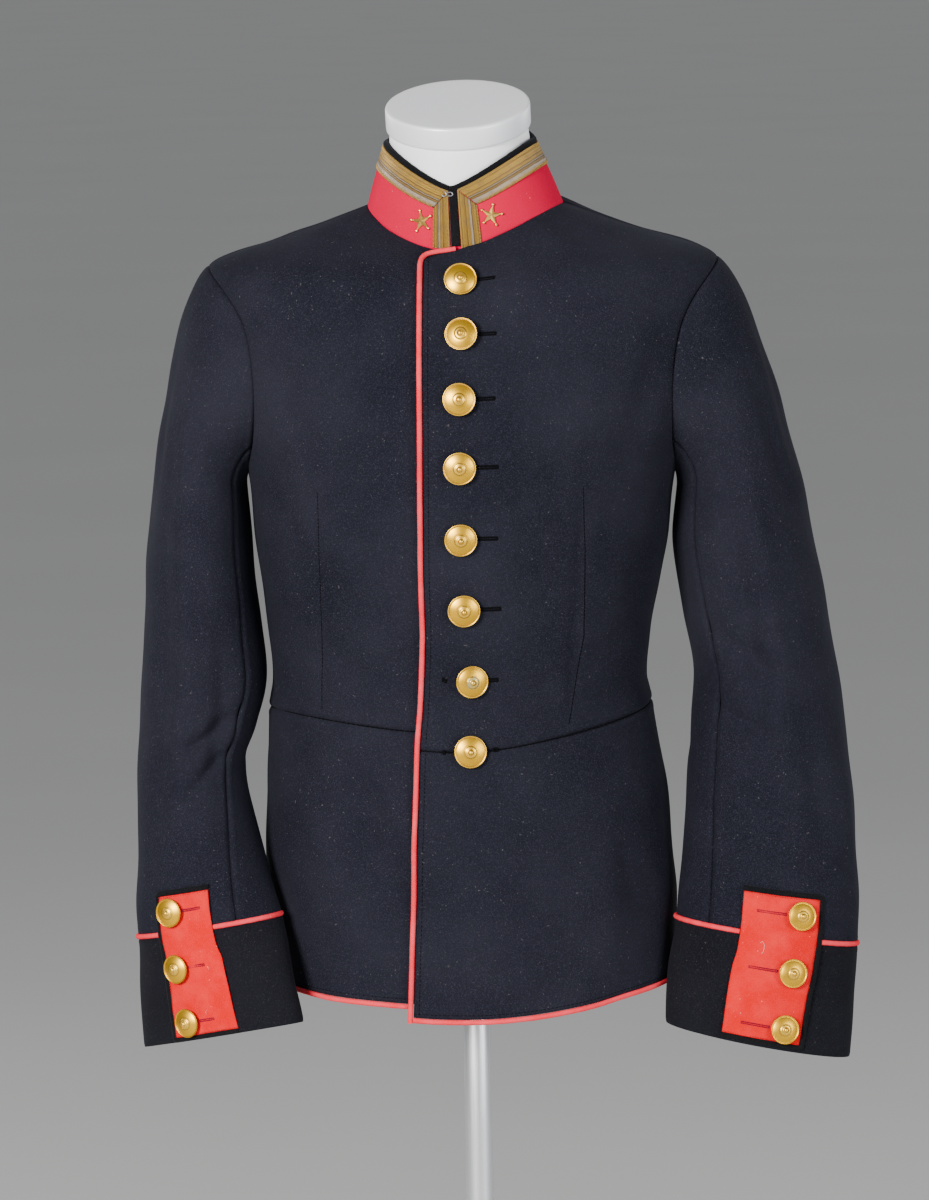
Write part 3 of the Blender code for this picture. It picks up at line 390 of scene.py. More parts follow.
def collar_raw(turn, rise):
    turn, rise = np.broadcast_arrays(turn, rise)
    base = on_section(BODY[-1], turn)
    top = on_section(COLLAR_TOP, turn)
    away = turn - math.radians(COLLAR_TOP[LOW])
    dip = 1.0 - np.abs(np.sin(away)) ** COLLAR_POINT
    dipped = COLLAR_TOP[SIDE] + (COLLAR_TOP[FRONT] - COLLAR_TOP[SIDE]) * dip
    top[..., 2] = np.where(np.cos(away) > 0.0, dipped, top[..., 2])
    point = base + (top - base) * rise[..., None]
    bulge = COLLAR_BULGE * np.sin(math.pi * np.clip(rise, 0.0, 1.0))
    grow = 1.0 + bulge / np.hypot(point[..., 0], point[..., 1])
    return np.stack((point[..., 0] * grow, point[..., 1] * grow, point[..., 2]), -1)


def collar_point(turn, rise, out=0.0):
    away = outward(collar_raw, np.asarray(turn, float), np.asarray(rise, float))
    return collar_raw(turn, rise) + away * np.asarray(out)[..., None]


def sleeve_ring(side, angle, row):
    ring = blend(SLEEVE[side], row - 1.0)
    height, aside, ahead, half, deep, slope, lean, twist = np.moveaxis(ring, -1, 0)
    twist = np.radians(twist)
    wide = half * np.sin(angle)
    thick = deep * np.cos(angle)
    across = wide * np.cos(twist) + thick * np.sin(twist)
    depth = thick * np.cos(twist) - wide * np.sin(twist)
    return np.stack((MIRROR[side] * (aside + across), -ahead - depth, height + slope * across + lean * depth), -1)


def armhole_point(side, angle):
    sign = MIRROR[side]
    opening = np.where(np.cos(angle) > 0.0, ARMHOLE_FORE, ARMHOLE_AFT)
    turn = sign * (math.pi / 2.0 - np.radians(opening) * np.cos(angle))
    row = (ARMPIT + SHOULDER) / 2.0 + (SHOULDER - ARMPIT) / 2.0 * np.sin(angle)
    return body_raw(turn, row) - np.array((sign * SLEEVE_TUCK, 0.0, 0.0))


def sleeve_raw(side, angle, row):
    """Point of the sleeve: the armhole is row 0, and the cuff's edge is the last row."""
    angle, row = np.broadcast_arrays(angle, row)
    sign = MIRROR[side]
    part = np.clip(row, -0.1, 1.0)[..., None]
    start = armhole_point(side, angle)
    end = sleeve_ring(side, angle, np.ones_like(row))
    head = (1.0 + np.sin(angle)) / 2.0
    leave = np.stack((sign * (0.012 + 0.040 * head), -0.004 * np.cos(angle), 0.004 * head), -1)
    arrive = (sleeve_ring(side, angle, np.full_like(row, 1.3)) - end) / 0.3
    size = np.linalg.norm(arrive, axis=-1, keepdims=True)
    arrive = arrive * np.linalg.norm(start - end, axis=-1, keepdims=True) / np.maximum(size, 0.001)
    square = part * part
    cube = square * part
    point = start * (2.0 * cube - 3.0 * square + 1.0) + leave * (cube - 2.0 * square + part)
    point = point + end * (3.0 * square - 2.0 * cube) + arrive * (cube - square)
    return np.where(row[..., None] < 1.0, point, sleeve_ring(side, angle, np.maximum(row, 1.0)))


def sleeve_point(side, angle, row, out=0.0):
    held = np.clip(row, 0.01, CUFF_END - 0.003)
    away = outward(lambda a, b: sleeve_raw(side, a, b), np.asarray(angle, float), held)
    return sleeve_raw(side, angle, row) - away * np.asarray(out)[..., None] * MIRROR[side]


# Creases of the body: ends as across and height, half-width, depth, and whether on the front or back.
Crease = namedtuple("Crease", "x1 z1 x2 z2 width depth")
CREASING = 2.1
# The form lies close under the back, so the creases there are shallower, and none is deeper than this.
BACK_SHARE = 0.55
DEEPEST = 0.0024
FRONT_CREASES = (
    Crease(-0.117, 1.225, -0.117, 1.050, 0.0042, -0.0012),
    Crease(0.091, 1.225, 0.078, 1.040, 0.0042, -0.0012),
    Crease(-0.100, 1.010, -0.055, 0.905, 0.0130, -0.0022),
    Crease(-0.075, 1.010, -0.035, 0.925, 0.0120, 0.0016),
    Crease(-0.130, 0.985, -0.110, 0.900, 0.0120, 0.0014),
    Crease(0.120, 0.960, 0.142, 0.850, 0.0110, -0.0020),
    Crease(0.100, 0.930, 0.108, 0.845, 0.0110, 0.0014),
    Crease(0.072, 0.905, 0.078, 0.838, 0.0090, -0.0010),
    Crease(-0.150, 1.330, -0.118, 1.250, 0.0110, -0.0016),
    Crease(0.150, 1.335, 0.125, 1.245, 0.0110, -0.0015),
    Crease(-0.140, 1.120, -0.085, 1.085, 0.0120, -0.0014),
    Crease(0.132, 1.115, 0.085, 1.080, 0.0110, -0.0013),
    Crease(0.130, 1.150, 0.090, 1.135, 0.0100, 0.0009),
    Crease(-0.098, 1.420, -0.062, 1.428, 0.0060, -0.0012),
    Crease(0.100, 1.422, 0.066, 1.432, 0.0060, -0.0014),
    Crease(0.020, 1.372, 0.060, 1.330, 0.0120, -0.0009),
)
BACK_CREASES = (
    Crease(-0.128, 1.330, -0.095, 1.230, 0.0120, -0.0018),
    Crease(0.130, 1.325, 0.100, 1.225, 0.0120, -0.0017),
    Crease(-0.100, 1.120, -0.040, 1.085, 0.0130, -0.0016),
    Crease(0.105, 1.115, 0.045, 1.090, 0.0120, -0.0014),
    Crease(-0.060, 1.415, 0.060, 1.417, 0.0080, -0.0011),
    Crease(-0.075, 0.980, -0.062, 0.850, 0.0120, -0.0018),
    Crease(0.080, 0.985, 0.066, 0.850, 0.0110, -0.0016),
    Crease(-0.120, 0.960, -0.128, 0.850, 0.0100, 0.0014),
)
# Creases of the sleeves: ends as direction in degrees and section, half-width, depth.
SLEEVE_CREASES = {
    "right": (
        Crease(40.0, 1.0, 34.0, 8.0, 0.0100, -0.0014),
        Crease(15.0, 1.5, 10.0, 6.5, 0.0120, 0.0014),
        Crease(70.0, 0.3, 62.0, 1.6, 0.0090, -0.0014),
        Crease(20.0, 0.2, 12.0, 1.4, 0.0080, -0.0013),
        Crease(-20.0, 3.0, -28.0, 6.2, 0.0120, -0.0022),
        Crease(-44.0, 4.6, 20.0, 5.6, 0.0100, -0.0026),
        Crease(-44.0, 5.6, 0.0, 6.5, 0.0090, -0.0018),
        Crease(200.0, 3.8, 250.0, 5.0, 0.0120, -0.0024),
        Crease(215.0, 5.2, 262.0, 5.8, 0.0110, -0.0022),
        Crease(130.0, 0.8, 140.0, 4.0, 0.0120, -0.0014),
        Crease(120.0, 5.5, 128.0, 8.4, 0.0110, -0.0012),
        Crease(250.0, 1.0, 255.0, 3.2, 0.0100, -0.0016),
    ),
    "left": (
        Crease(-8.0, 0.6, -14.0, 6.4, 0.0090, -0.0017),
        Crease(12.0, 0.8, 8.0, 5.6, 0.0110, 0.0015),
        Crease(42.0, 0.3, 46.0, 2.2, 0.0090, -0.0014),
        Crease(74.0, 0.2, 70.0, 1.5, 0.0090, -0.0013),
        Crease(-40.0, 3.2, 16.0, 4.2, 0.0110, -0.0022),
        Crease(-44.0, 4.6, 4.0, 5.4, 0.0100, -0.0022),
        Crease(30.0, 5.0, 34.0, 8.2, 0.0120, -0.0014),
        Crease(60.0, 6.0, 66.0, 8.2, 0.0110, 0.0012),
        Crease(205.0, 3.6, 252.0, 4.8, 0.0120, -0.0024),
        Crease(218.0, 5.2, 260.0, 5.9, 0.0110, -0.0020),
        Crease(128.0, 1.0, 136.0, 4.2, 0.0120, -0.0014),
        Crease(250.0, 1.0, 255.0, 3.2, 0.0100, -0.0016),
    ),
}
ANGLE_SIZE = 0.06
ROW_SIZE = 0.055
# Slow unevenness of the cloth: how many waves in a metre along each axis, offset and depth.
WAVES = ((7.0, 3.0, 5.0, 0.3, 0.00050), (-5.0, 6.0, 11.0, 1.9, 0.00042), (13.0, -9.0, 6.0, 4.1, 0.00030),
         (3.0, 15.0, -13.0, 2.2, 0.00026), (21.0, 4.0, 17.0, 5.3, 0.00016), (-17.0, 23.0, 9.0, 0.7, 0.00012))


def crease_depth(creases, across, up):
    """Depth of a table of creases at places given by two lengths."""
    depth = np.zeros(across.shape)
    for crease in creases:
        run = np.array((crease.x2 - crease.x1, crease.z2 - crease.z1))
        part = ((across - crease.x1) * run[0] + (up - crease.z1) * run[1]) / run.dot(run)
        held = np.clip(part, 0.0, 1.0)
        away = np.hypot(across - crease.x1 - held * run[0], up - crease.z1 - held * run[1])
        fade = 0.35 + 0.65 * smooth(0.0, 0.30, held) * smooth(1.0, 0.65, held)
        depth += CREASING * crease.depth * fade * np.exp(-((away / crease.width) ** 2))
    return depth


def unevenness(points):
    depth = np.zeros(points.shape[:-1])
    for east, north, up, offset, size in WAVES:
        angle = 2.0 * math.pi * (east * points[..., 0] + north * points[..., 1] + up * points[..., 2])
        depth += size * np.sin(angle + offset)
    return depth


def body_creases(points):
    ahead = smooth(0.02, -0.03, points[..., 1])
    depth = crease_depth(FRONT_CREASES, points[..., 0], points[..., 2]) * ahead
    depth += crease_depth(BACK_CREASES, points[..., 0], points[..., 2]) * (1.0 - ahead) * BACK_SHARE
    depth += unevenness(points)
    limit = DEEPEST * (0.6 + 0.4 * ahead)
    return np.where(depth < 0.0, limit * np.tanh(depth / limit), depth)


def on_body(turn, row, out):
    """Point on the creased cloth of the body, moved out."""
    point = body_point(turn, row, out)
    away = outward(body_raw, np.asarray(turn, float), np.clip(row, 0.003, NECKLINE - 0.003))
    return point + away * body_creases(point)[..., None]


def sleeve_creases(side, angle, row, points):
    table = [crease._replace(x1=math.radians(crease.x1) * ANGLE_SIZE, x2=math.radians(crease.x2) * ANGLE_SIZE,
                             z1=crease.z1 * ROW_SIZE, z2=crease.z2 * ROW_SIZE) for crease in SLEEVE_CREASES[side]]
    across = np.broadcast_to(angle * ANGLE_SIZE, points.shape[:-1])
    up = np.broadcast_to(row * ROW_SIZE, points.shape[:-1])
    held = smooth(-0.2, 1.6, np.broadcast_to(row, points.shape[:-1]))
    return crease_depth(table, across, up) * held + unevenness(points)


# Seam dips: depth and half-width at a seam and at a turned edge
SEAM_DIP = (0.0020, 0.0019)
SEAM_SWELL = 0.00035
EDGE_DIP = (0.0005, 0.0016)


def steps(points, axis):
    """Distance along a grid from its first row or column."""
    legs = np.linalg.norm(np.diff(points, axis=axis), axis=-1)
    start = np.zeros_like(np.take(legs, [0], axis=axis))
    return np.concatenate((start, np.cumsum(legs, axis=axis)), axis=axis)


def grid_normals(points, closed):
    if closed:
        across = np.roll(points, -1, axis=1) - np.roll(points, 1, axis=1)
    else:
        across = np.gradient(points, axis=1)
    away = np.cross(across, np.gradient(points, axis=0))
    return away / np.maximum(np.linalg.norm(away, axis=-1, keepdims=True), 1e-12)


def tailored(points, relief, edges="", closed=False, flip=1.0):
    """A grid pushed out by its relief and dipped at its edges: l, r, b and t are seams, capitals turned edges."""
    away = grid_normals(points, closed) * flip
    across = steps(points, 1)
    up = steps(points, 0)
    far = {"l": across, "r": across[:, -1:] - across, "b": up, "t": up[-1:] - up}
    push = relief
    for letter in edges:
        depth, width = EDGE_DIP if letter.isupper() else SEAM_DIP
        push = push - depth * np.exp(-((far[letter.lower()] / width) ** 2))
        if letter.islower():
            push = push + SEAM_SWELL * np.exp(-((far[letter] / width - 2.6) ** 2))
    return points + away * push[..., None]


def grid_object(piece, points, closed=False, wall=WALL, flip=False, uv=None):
    """A grid of faces with a wall inwards, and lengths along the cloth as its UV map."""
    rows, columns = points.shape[:2]
    mesh = bpy.data.meshes.new(piece)
    number = np.arange(rows * columns).reshape(rows, columns)
    if closed:
        number = np.concatenate((number, number[:, :1]), axis=1)
    faces = np.stack((number[:-1, :-1], number[:-1, 1:], number[1:, 1:], number[1:, :-1]), -1).reshape(-1, 4)
    if flip:
        faces = faces[:, ::-1]
    mesh.from_pydata(points.reshape(-1, 3).tolist(), [], faces.tolist())
    looped = np.concatenate((points, points[:, :1]), axis=1) if closed else points
    lengths = np.stack((steps(looped, 1), steps(looped, 0)), -1) if uv is None else uv
    if closed:
        index = np.arange(rows * (columns + 1)).reshape(rows, columns + 1)
        corners = np.stack((index[:-1, :-1], index[:-1, 1:], index[1:, 1:], index[1:, :-1]), -1).reshape(-1, 4)
    else:
        corners = np.stack((number[:-1, :-1], number[:-1, 1:], number[1:, 1:], number[1:, :-1]), -1).reshape(-1, 4)
    if flip:
        corners = corners[:, ::-1]
    layer = mesh.uv_layers.new(name="Cloth")
    layer.data.foreach_set("uv", lengths.reshape(-1, 2)[corners.ravel()].ravel().astype(np.float32))
    mesh.polygons.foreach_set("use_smooth", [True] * len(mesh.polygons))
    thing = bpy.data.objects.new(piece, mesh)
    bpy.context.scene.collection.objects.link(thing)
    if wall:
        thick = thing.modifiers.new("Wall", "SOLIDIFY")
        thick.thickness = wall
        thick.offset = -1.0
        thick.use_even_offset = False
    return thing


def facing_out(points, middle):
    """Whether a grid's faces point away from its middle line."""
    rows, columns = points.shape[:2]
    at = points[rows // 2, columns // 2]
    across = points[rows // 2, columns // 2 + 1] - at
    up = points[rows // 2 + 1, columns // 2] - at
    return np.cross(across, up).dot(at - np.array(middle)) > 0.0


# Materials
class Paint:
    """A material built in small steps, on places in metres."""

    def __init__(self, name, colour, rough, metal=0.0):
        self.made = bpy.data.materials.new(name)
        self.made.use_nodes = True
        self.tree = self.made.node_tree
        self.shader = self.tree.nodes["Principled BSDF"]
        self.coordinates = self.tree.nodes.new("ShaderNodeTexCoord")
        self.set("Base Color", (*colour, 1.0))
        self.set("Roughness", rough)
        self.set("Metallic", metal)

    def set(self, socket, value):
        if isinstance(value, bpy.types.NodeSocket):
            self.tree.links.new(value, self.shader.inputs[socket])
        else:
            self.shader.inputs[socket].default_value = value
        return self

    def fill(self, node, **values):
        for name, value in values.items():
            socket = node.inputs[name.replace("_", " ")]
            if isinstance(value, bpy.types.NodeSocket):
                self.tree.links.new(value, socket)
            else:
                socket.default_value = value
        return node

    def place(self, kind="Object", scale=(1.0, 1.0, 1.0)):
        mapping = self.fill(self.tree.nodes.new("ShaderNodeMapping"), Vector=self.coordinates.outputs[kind])
        mapping.inputs["Scale"].default_value = scale
        return mapping.outputs["Vector"]

    def noise(self, scale, detail=2.0, place=None, rough=0.5):
        node = self.tree.nodes.new("ShaderNodeTexNoise")
        self.fill(node, Vector=place or self.coordinates.outputs["Object"], Scale=scale, Detail=detail,
                  Roughness=rough)
        return node.outputs["Fac"]

    def between(self, value, low, high, start=0.0, end=1.0):
        """A value's share between two limits."""
        node = self.tree.nodes.new("ShaderNodeMapRange")
        self.fill(node, Value=value, From_Min=low, From_Max=high, To_Min=start, To_Max=end)
        return node.outputs["Result"]

    def math(self, way, first, second=0.0):
        node = self.tree.nodes.new("ShaderNodeMath")
        node.operation = way
        for socket, value in zip(node.inputs, (first, second)):
            if isinstance(value, bpy.types.NodeSocket):
                self.tree.links.new(value, socket)
            else:
                socket.default_value = value
        return node.outputs["Value"]

    def mix(self, share, first, second):
        node = self.tree.nodes.new("ShaderNodeMix")
        node.data_type = "RGBA"
        for socket, value in ((node.inputs["Factor"], share), (node.inputs[6], first), (node.inputs[7], second)):
            if isinstance(value, bpy.types.NodeSocket):
                self.tree.links.new(value, socket)
            elif socket.type == "RGBA":
                socket.default_value = (*value, 1.0)
            else:
                socket.default_value = value
        return node.outputs[2]

    def axes(self, vector):
        node = self.fill(self.tree.nodes.new("ShaderNodeSeparateXYZ"), Vector=vector)
        return node.outputs["X"], node.outputs["Y"], node.outputs["Z"]

    def ramp(self, value, stops):
        node = self.fill(self.tree.nodes.new("ShaderNodeValToRGB"), Fac=value)
        table = node.color_ramp
        while len(table.elements) < len(stops):
            table.elements.new(1.0)
        for element, (at, colour) in zip(table.elements, stops):
            element.position = at
            element.color = (*colour, 1.0)
        return node.outputs["Color"]

    def bump(self, height, depth, strength=1.0):
        node = self.fill(self.tree.nodes.new("ShaderNodeBump"), Height=height, Distance=depth, Strength=strength)
        return self.set("Normal", node.outputs["Normal"])

    def sheen(self, weight, rough, tint):
        self.set("Sheen Weight", weight)
        self.set("Sheen Roughness", rough)
        return self.set("Sheen Tint", (*tint, 1.0))


def wool(name, dark, pale, lint, sheen, specks=1.0):
    """Fulled wool: soft mottling, a fine nap, and specks of lint."""
    paint = Paint(name, dark, 0.95)
    nap = paint.noise(1500.0, 3.0)
    broad = paint.noise(9.0, 4.0, rough=0.6)
    grain = paint.noise(620.0, 3.0)
    colour = paint.mix(paint.between(broad, 0.35, 0.68), dark, pale)
    colour = paint.mix(paint.between(grain, 0.40, 0.75, 0.0, 0.45), colour, pale)
    fibre = paint.between(paint.noise(1050.0, 2.0), 0.50, 0.72, 0.0, 0.60)
    colour = paint.mix(fibre, colour, tuple(2.2 * level for level in pale))
    spread = paint.between(paint.noise(14.0, 3.0), 0.42, 0.62, 0.35, 1.0)
    dots = paint.between(paint.noise(560.0, 1.0), 0.715, 0.78, 0.0, 0.50 * specks)
    colour = paint.mix(paint.math("MULTIPLY", dots, spread), colour, lint)
    fluff = paint.between(paint.noise(260.0, 1.0), 0.775, 0.82, 0.0, 0.30 * specks)
    colour = paint.mix(fluff, colour, lint)
    paint.set("Base Color", colour)
    paint.set("Specular IOR Level", 0.12)
    height = paint.math("ADD", nap, paint.math("MULTIPLY", grain, 0.8))
    paint.bump(height, 0.00035, 0.55)
    paint.sheen(sheen, 0.45, (0.55, 0.60, 0.80))
    return paint.made


def felt(name, deep, pale, fade, sheen, tint):
    """Red facing cloth, a little faded in patches."""
    paint = Paint(name, deep, 0.9)
    patches = paint.between(paint.noise(38.0, 4.0, rough=0.62), 0.42, 0.72, 0.0, fade)
    colour = paint.mix(patches, deep, pale)
    grain = paint.noise(900.0, 3.0)
    colour = paint.mix(paint.between(grain, 0.45, 0.75, 0.0, 0.35), colour, pale)
    hair = paint.between(paint.noise(420.0, 1.0), 0.76, 0.80, 0.0, 0.35)
    colour = paint.mix(hair, colour, (0.95, 0.40, 0.36))
    paint.set("Base Color", colour)
    paint.set("Specular IOR Level", 0.04)
    paint.bump(grain, 0.0003, 0.5)
    paint.sheen(sheen, 0.4, tint)
    return paint.made


def thread(name, colour, rough=0.6, scale=1800.0):
    paint = Paint(name, colour, rough)
    strands = paint.noise(scale, 2.0)
    paint.set("Base Color", paint.mix(paint.between(strands, 0.35, 0.7), colour, tuple(1.5 * c for c in colour)))
    paint.set("Specular IOR Level", 0.10)
    paint.bump(strands, 0.0002, 0.5)
    return paint.made


# Stripes of the lace, from its inner side to its outer side
GOLD = (0.46, 0.265, 0.035)
OCHRE = (0.31, 0.170, 0.025)
UMBER = (0.07, 0.038, 0.014)
SILVER = (0.42, 0.33, 0.24)
TOP_STRIPES = ((0.00, OCHRE), (0.05, UMBER), (0.07, SILVER), (0.26, SILVER), (0.29, UMBER), (0.32, OCHRE),
               (0.40, UMBER), (0.42, SILVER), (0.46, UMBER), (0.50, GOLD), (0.60, OCHRE), (0.62, UMBER),
               (0.64, GOLD), (0.86, GOLD), (0.88, UMBER), (0.90, GOLD))
END_STRIPES = ((0.00, GOLD), (0.08, UMBER), (0.10, GOLD), (0.30, OCHRE), (0.34, UMBER), (0.37, SILVER),
               (0.44, SILVER), (0.47, OCHRE), (0.60, GOLD), (0.64, UMBER), (0.66, OCHRE), (0.88, GOLD),
               (0.91, UMBER), (0.93, GOLD))


def lace_paint(name, stripes):
    """Woven metal lace: stripes lengthwise, ribs of weft across them, and a little tarnish."""
    paint = Paint(name, GOLD, 0.48, 0.35)
    along_lace, across, _ = paint.axes(paint.coordinates.outputs["UV"])
    wander = paint.between(paint.noise(160.0, 2.0), 0.3, 0.7, -0.012, 0.012)
    colour = paint.ramp(paint.math("ADD", across, wander), stripes)
    tarnish = paint.between(paint.noise(120.0, 3.0), 0.50, 0.72, 0.0, 0.45)
    colour = paint.mix(tarnish, colour, (0.16, 0.11, 0.06))
    ribs = paint.math("SINE", paint.math("MULTIPLY", along_lace, 2.0 * math.pi / 0.00075))
    colour = paint.mix(paint.between(ribs, -1.0, 1.0, 0.28, 0.0), colour, (0.08, 0.05, 0.025))
    paint.set("Base Color", colour)
    cords = paint.math("SINE", paint.math("MULTIPLY", across, 2.0 * math.pi * 9.0))
    height = paint.math("ADD", ribs, paint.math("MULTIPLY", cords, 0.8))
    paint.bump(height, 0.00018, 0.8)
    return paint.made


def metal(name, colour, rough, rough_to=None, scale=300.0, dent=0.00004):
    paint = Paint(name, colour, rough, 1.0)
    cloud = paint.noise(scale, 3.0)
    paint.set("Roughness", paint.between(cloud, 0.3, 0.7, rough, rough_to or rough * 1.35))
    paint.set("Base Color", paint.mix(paint.between(cloud, 0.35, 0.75), colour, tuple(0.86 * c for c in colour)))
    paint.bump(cloud, dent, 0.35)
    return paint.made


def gilt_paint(name, green=0.0):
    """Satin gilt disc with painted shade in the grooves round its knob and inside its rim, around the button's own
    axis.
    """
    paint = Paint(name, (0.88, 0.50, 0.075), 0.34, 1.0)
    east, north, _ = paint.axes(paint.coordinates.outputs["Object"])
    radius = paint.math("SQRT", paint.math("ADD", paint.math("MULTIPLY", east, east),
                                           paint.math("MULTIPLY", north, north)))
    disc = paint.math("MULTIPLY", paint.between(radius, 0.0046, 0.0052), paint.between(radius, 0.0119, 0.0112))
    cloud = paint.noise(700.0, 3.0)
    paint.set("Roughness", paint.math("ADD", paint.between(disc, 0.0, 1.0, 0.38, 0.38),
                                      paint.between(cloud, 0.3, 0.7, -0.01, 0.02)))
    colour = paint.mix(disc, (0.90, 0.55, 0.070), (0.82, 0.46, 0.026))
    # Painted shade: dark rings in the groove at the knob's foot and in the groove inside the rim.
    knob_groove_shade = paint.math("MULTIPLY", paint.between(radius, 0.0043, 0.0047), paint.between(radius, 0.0056, 0.0049))
    rim = paint.math("MULTIPLY", paint.between(radius, 0.0108, 0.0113), paint.between(radius, 0.0118, 0.0115))
    colour = paint.mix(paint.math("MULTIPLY", paint.math("MAXIMUM", knob_groove_shade, rim), 0.6), colour, (0.30, 0.14, 0.02))
    spots = paint.between(paint.noise(600.0, 2.0), 0.70, 0.78, 0.0, 0.35)
    colour = paint.mix(spots, colour, (0.40, 0.20, 0.04))
    if green:
        moss = paint.math("MULTIPLY", paint.between(radius, 0.0062, 0.0042), paint.between(radius, 0.0014, 0.0030))
        moss = paint.math("MULTIPLY", moss, paint.between(paint.noise(520.0, 2.0), 0.38, 0.56, 0.0, green))
        colour = paint.mix(moss, colour, (0.16, 0.24, 0.17))
        paint.set("Metallic", paint.between(moss, 0.0, 1.0, 1.0, 0.0))
    paint.set("Base Color", colour)
    return paint.made


def brushed(name, colour, rough, scale):
    """Brushed or painted metal, its fine lines drawn out by the scale of each axis."""
    paint = Paint(name, colour, rough, 1.0)
    lines = paint.noise(1.0, 3.0, paint.place("Object", scale))
    paint.set("Roughness", paint.between(lines, 0.3, 0.7, rough * 0.85, rough * 1.25))
    paint.set("Base Color", paint.mix(paint.between(lines, 0.3, 0.7), colour, tuple(0.90 * c for c in colour)))
    paint.bump(lines, 0.00004, 0.4)
    return paint.made


def plain(name, colour, pale, rough, scale=60.0, metal_share=0.0):
    paint = Paint(name, colour, rough, metal_share)
    cloud = paint.noise(scale, 4.0)
    paint.set("Base Color", paint.mix(paint.between(cloud, 0.3, 0.7), colour, pale))
    paint.bump(paint.noise(1400.0, 2.0), 0.0001, 0.25)
    return paint.made


NAVY = wool("navy_wool", (0.0052, 0.0054, 0.0105), (0.0130, 0.0132, 0.0205), (0.13, 0.12, 0.12), 0.02)
# The cuffs wear a darker copy of the navy wool: painted shade.
NAVY_CUFF_SHADED = wool("navy_cuff_painted_shade", (0.0036, 0.0036, 0.0058), (0.0080, 0.0080, 0.0112), (0.13, 0.12, 0.11), 0.02, 0.8)
CRIMSON = felt("crimson_cloth", (0.60, 0.0, 0.040), (0.66, 0.0, 0.050), 0.45, 0.0, (1.0, 0.55, 0.60))
SCARLET = felt("scarlet_cloth", (0.68, 0.0, 0.003), (0.82, 0.034, 0.036), 0.75, 0.0, (1.0, 0.65, 0.62))
PIPING = felt("red_piping", (0.82, 0.028, 0.045), (0.94, 0.100, 0.125), 0.70, 0.0, (1.0, 0.70, 0.68))
BLACK = wool("black_cloth", (0.0030, 0.0030, 0.0036), (0.0070, 0.0070, 0.0080), (0.08, 0.07, 0.07), 0.04, 0.5)
LACE_TOP = lace_paint("gold_lace", TOP_STRIPES)
LACE_END = lace_paint("gold_lace_end", END_STRIPES)
GILT = gilt_paint("gilt_button")
GILT_GREEN = gilt_paint("gilt_button_tarnished", 0.85)
STAR_GILT = metal("gilt_star", (0.98, 0.62, 0.16), 0.30, 0.42, 500.0)
WIRE = metal("white_metal_wire", (0.30, 0.30, 0.31), 0.34)
NAVY_THREAD = thread("navy_thread", (0.010, 0.011, 0.017))
# Black thread of the real stitches, also used for the painted shade lines of the darts and the waist seam.
BLACK_THREAD_AND_SHADE = thread("black_thread_and_painted_shade", (0.0010, 0.0010, 0.0013), 0.9)
WINE_THREAD = thread("wine_thread", (0.17, 0.010, 0.035), 0.6)
RED_THREAD = thread("red_thread", (0.34, 0.020, 0.025), 0.7)
PALE_THREAD = thread("pale_thread", (0.80, 0.28, 0.25), 0.8)
GOLD_THREAD = thread("gold_thread", (0.34, 0.21, 0.06), 0.5)
FORM_WHITE = plain("white_form_cover", (0.97, 0.975, 0.985), (0.99, 0.99, 0.99), 0.55)
CAP_SILVER = plain("silver_paint", (0.92, 0.93, 0.96), (0.95, 0.96, 0.98), 0.36, 25.0, 0.15)
POLE_METAL = brushed("brushed_pole", (0.84, 0.85, 0.87), 0.42, (900.0, 900.0, 14.0))
BASE_METAL = brushed("brushed_base", (0.78, 0.79, 0.80), 0.40, (26.0, 800.0, 800.0))


def dress(thing, material, slot, *nodes):
    """Gives a piece its material and lets it ride on the stand in place of its solids."""
    thing.data.materials.append(material)
    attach(thing, "root")
    if nodes:
        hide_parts(*nodes)
    return thing


def sew(node, points, relief, edges, middle, material, slot, closed=False, wall=WALL, uv=None):
    """A piece of cloth from its grid: creased, dipped at its seams, walled and dressed."""
    out = facing_out(points, middle)
    points = tailored(points, relief, edges, closed, 1.0 if out else -1.0)
    thing = grid_object(f"{node}_cloth", points, closed, wall, not out, uv)
    dress(thing, material, slot, node)
    return thing


# Panels of the bodice and the skirt
ARM_STEPS = 8.5 + 1.5 * np.sin(np.radians(np.linspace(-90.0, 90.0, 57)))
BESIDE_SEAM = np.array((0.0, 0.02, 0.04, 0.07))
BODICE_ROWS = np.concatenate((WAIST - SEAM_ROW + BESIDE_SEAM, np.linspace(WAIST + 0.1, ARMPIT, 58)[:-1], ARM_STEPS,
                              np.linspace(SHOULDER, NECKLINE, 32)[1:]))[:, None]
SKIRT_ROWS = np.concatenate((np.linspace(HEM, WAIST - 0.1, 80), WAIST + SEAM_ROW - BESIDE_SEAM[::-1]))[:, None]
SPREAD = np.concatenate((np.linspace(0.0, 1.0, 61)[1:-1], (0.990, 0.996, 1.0)))
LAPS = np.concatenate((np.linspace(0.0, UNDERLAP, 25), np.zeros(62)))[None, :]
SHARES = np.concatenate((np.zeros(25), SPREAD))[None, :]
COLUMNS = {
    "left": (LAPS, SHARES, "Lr"),
    "right": (np.concatenate((np.zeros(62), LAPS[0, :25]))[None, :], np.concatenate((SPREAD[::-1], np.zeros(25)))[None, :],
              "lR"),
}
BACK_PARTS = np.concatenate(((0.0, 0.004, 0.010), np.linspace(0.0, 1.0, 74)[1:-1], (0.996,), (1.0,)))[None, :]

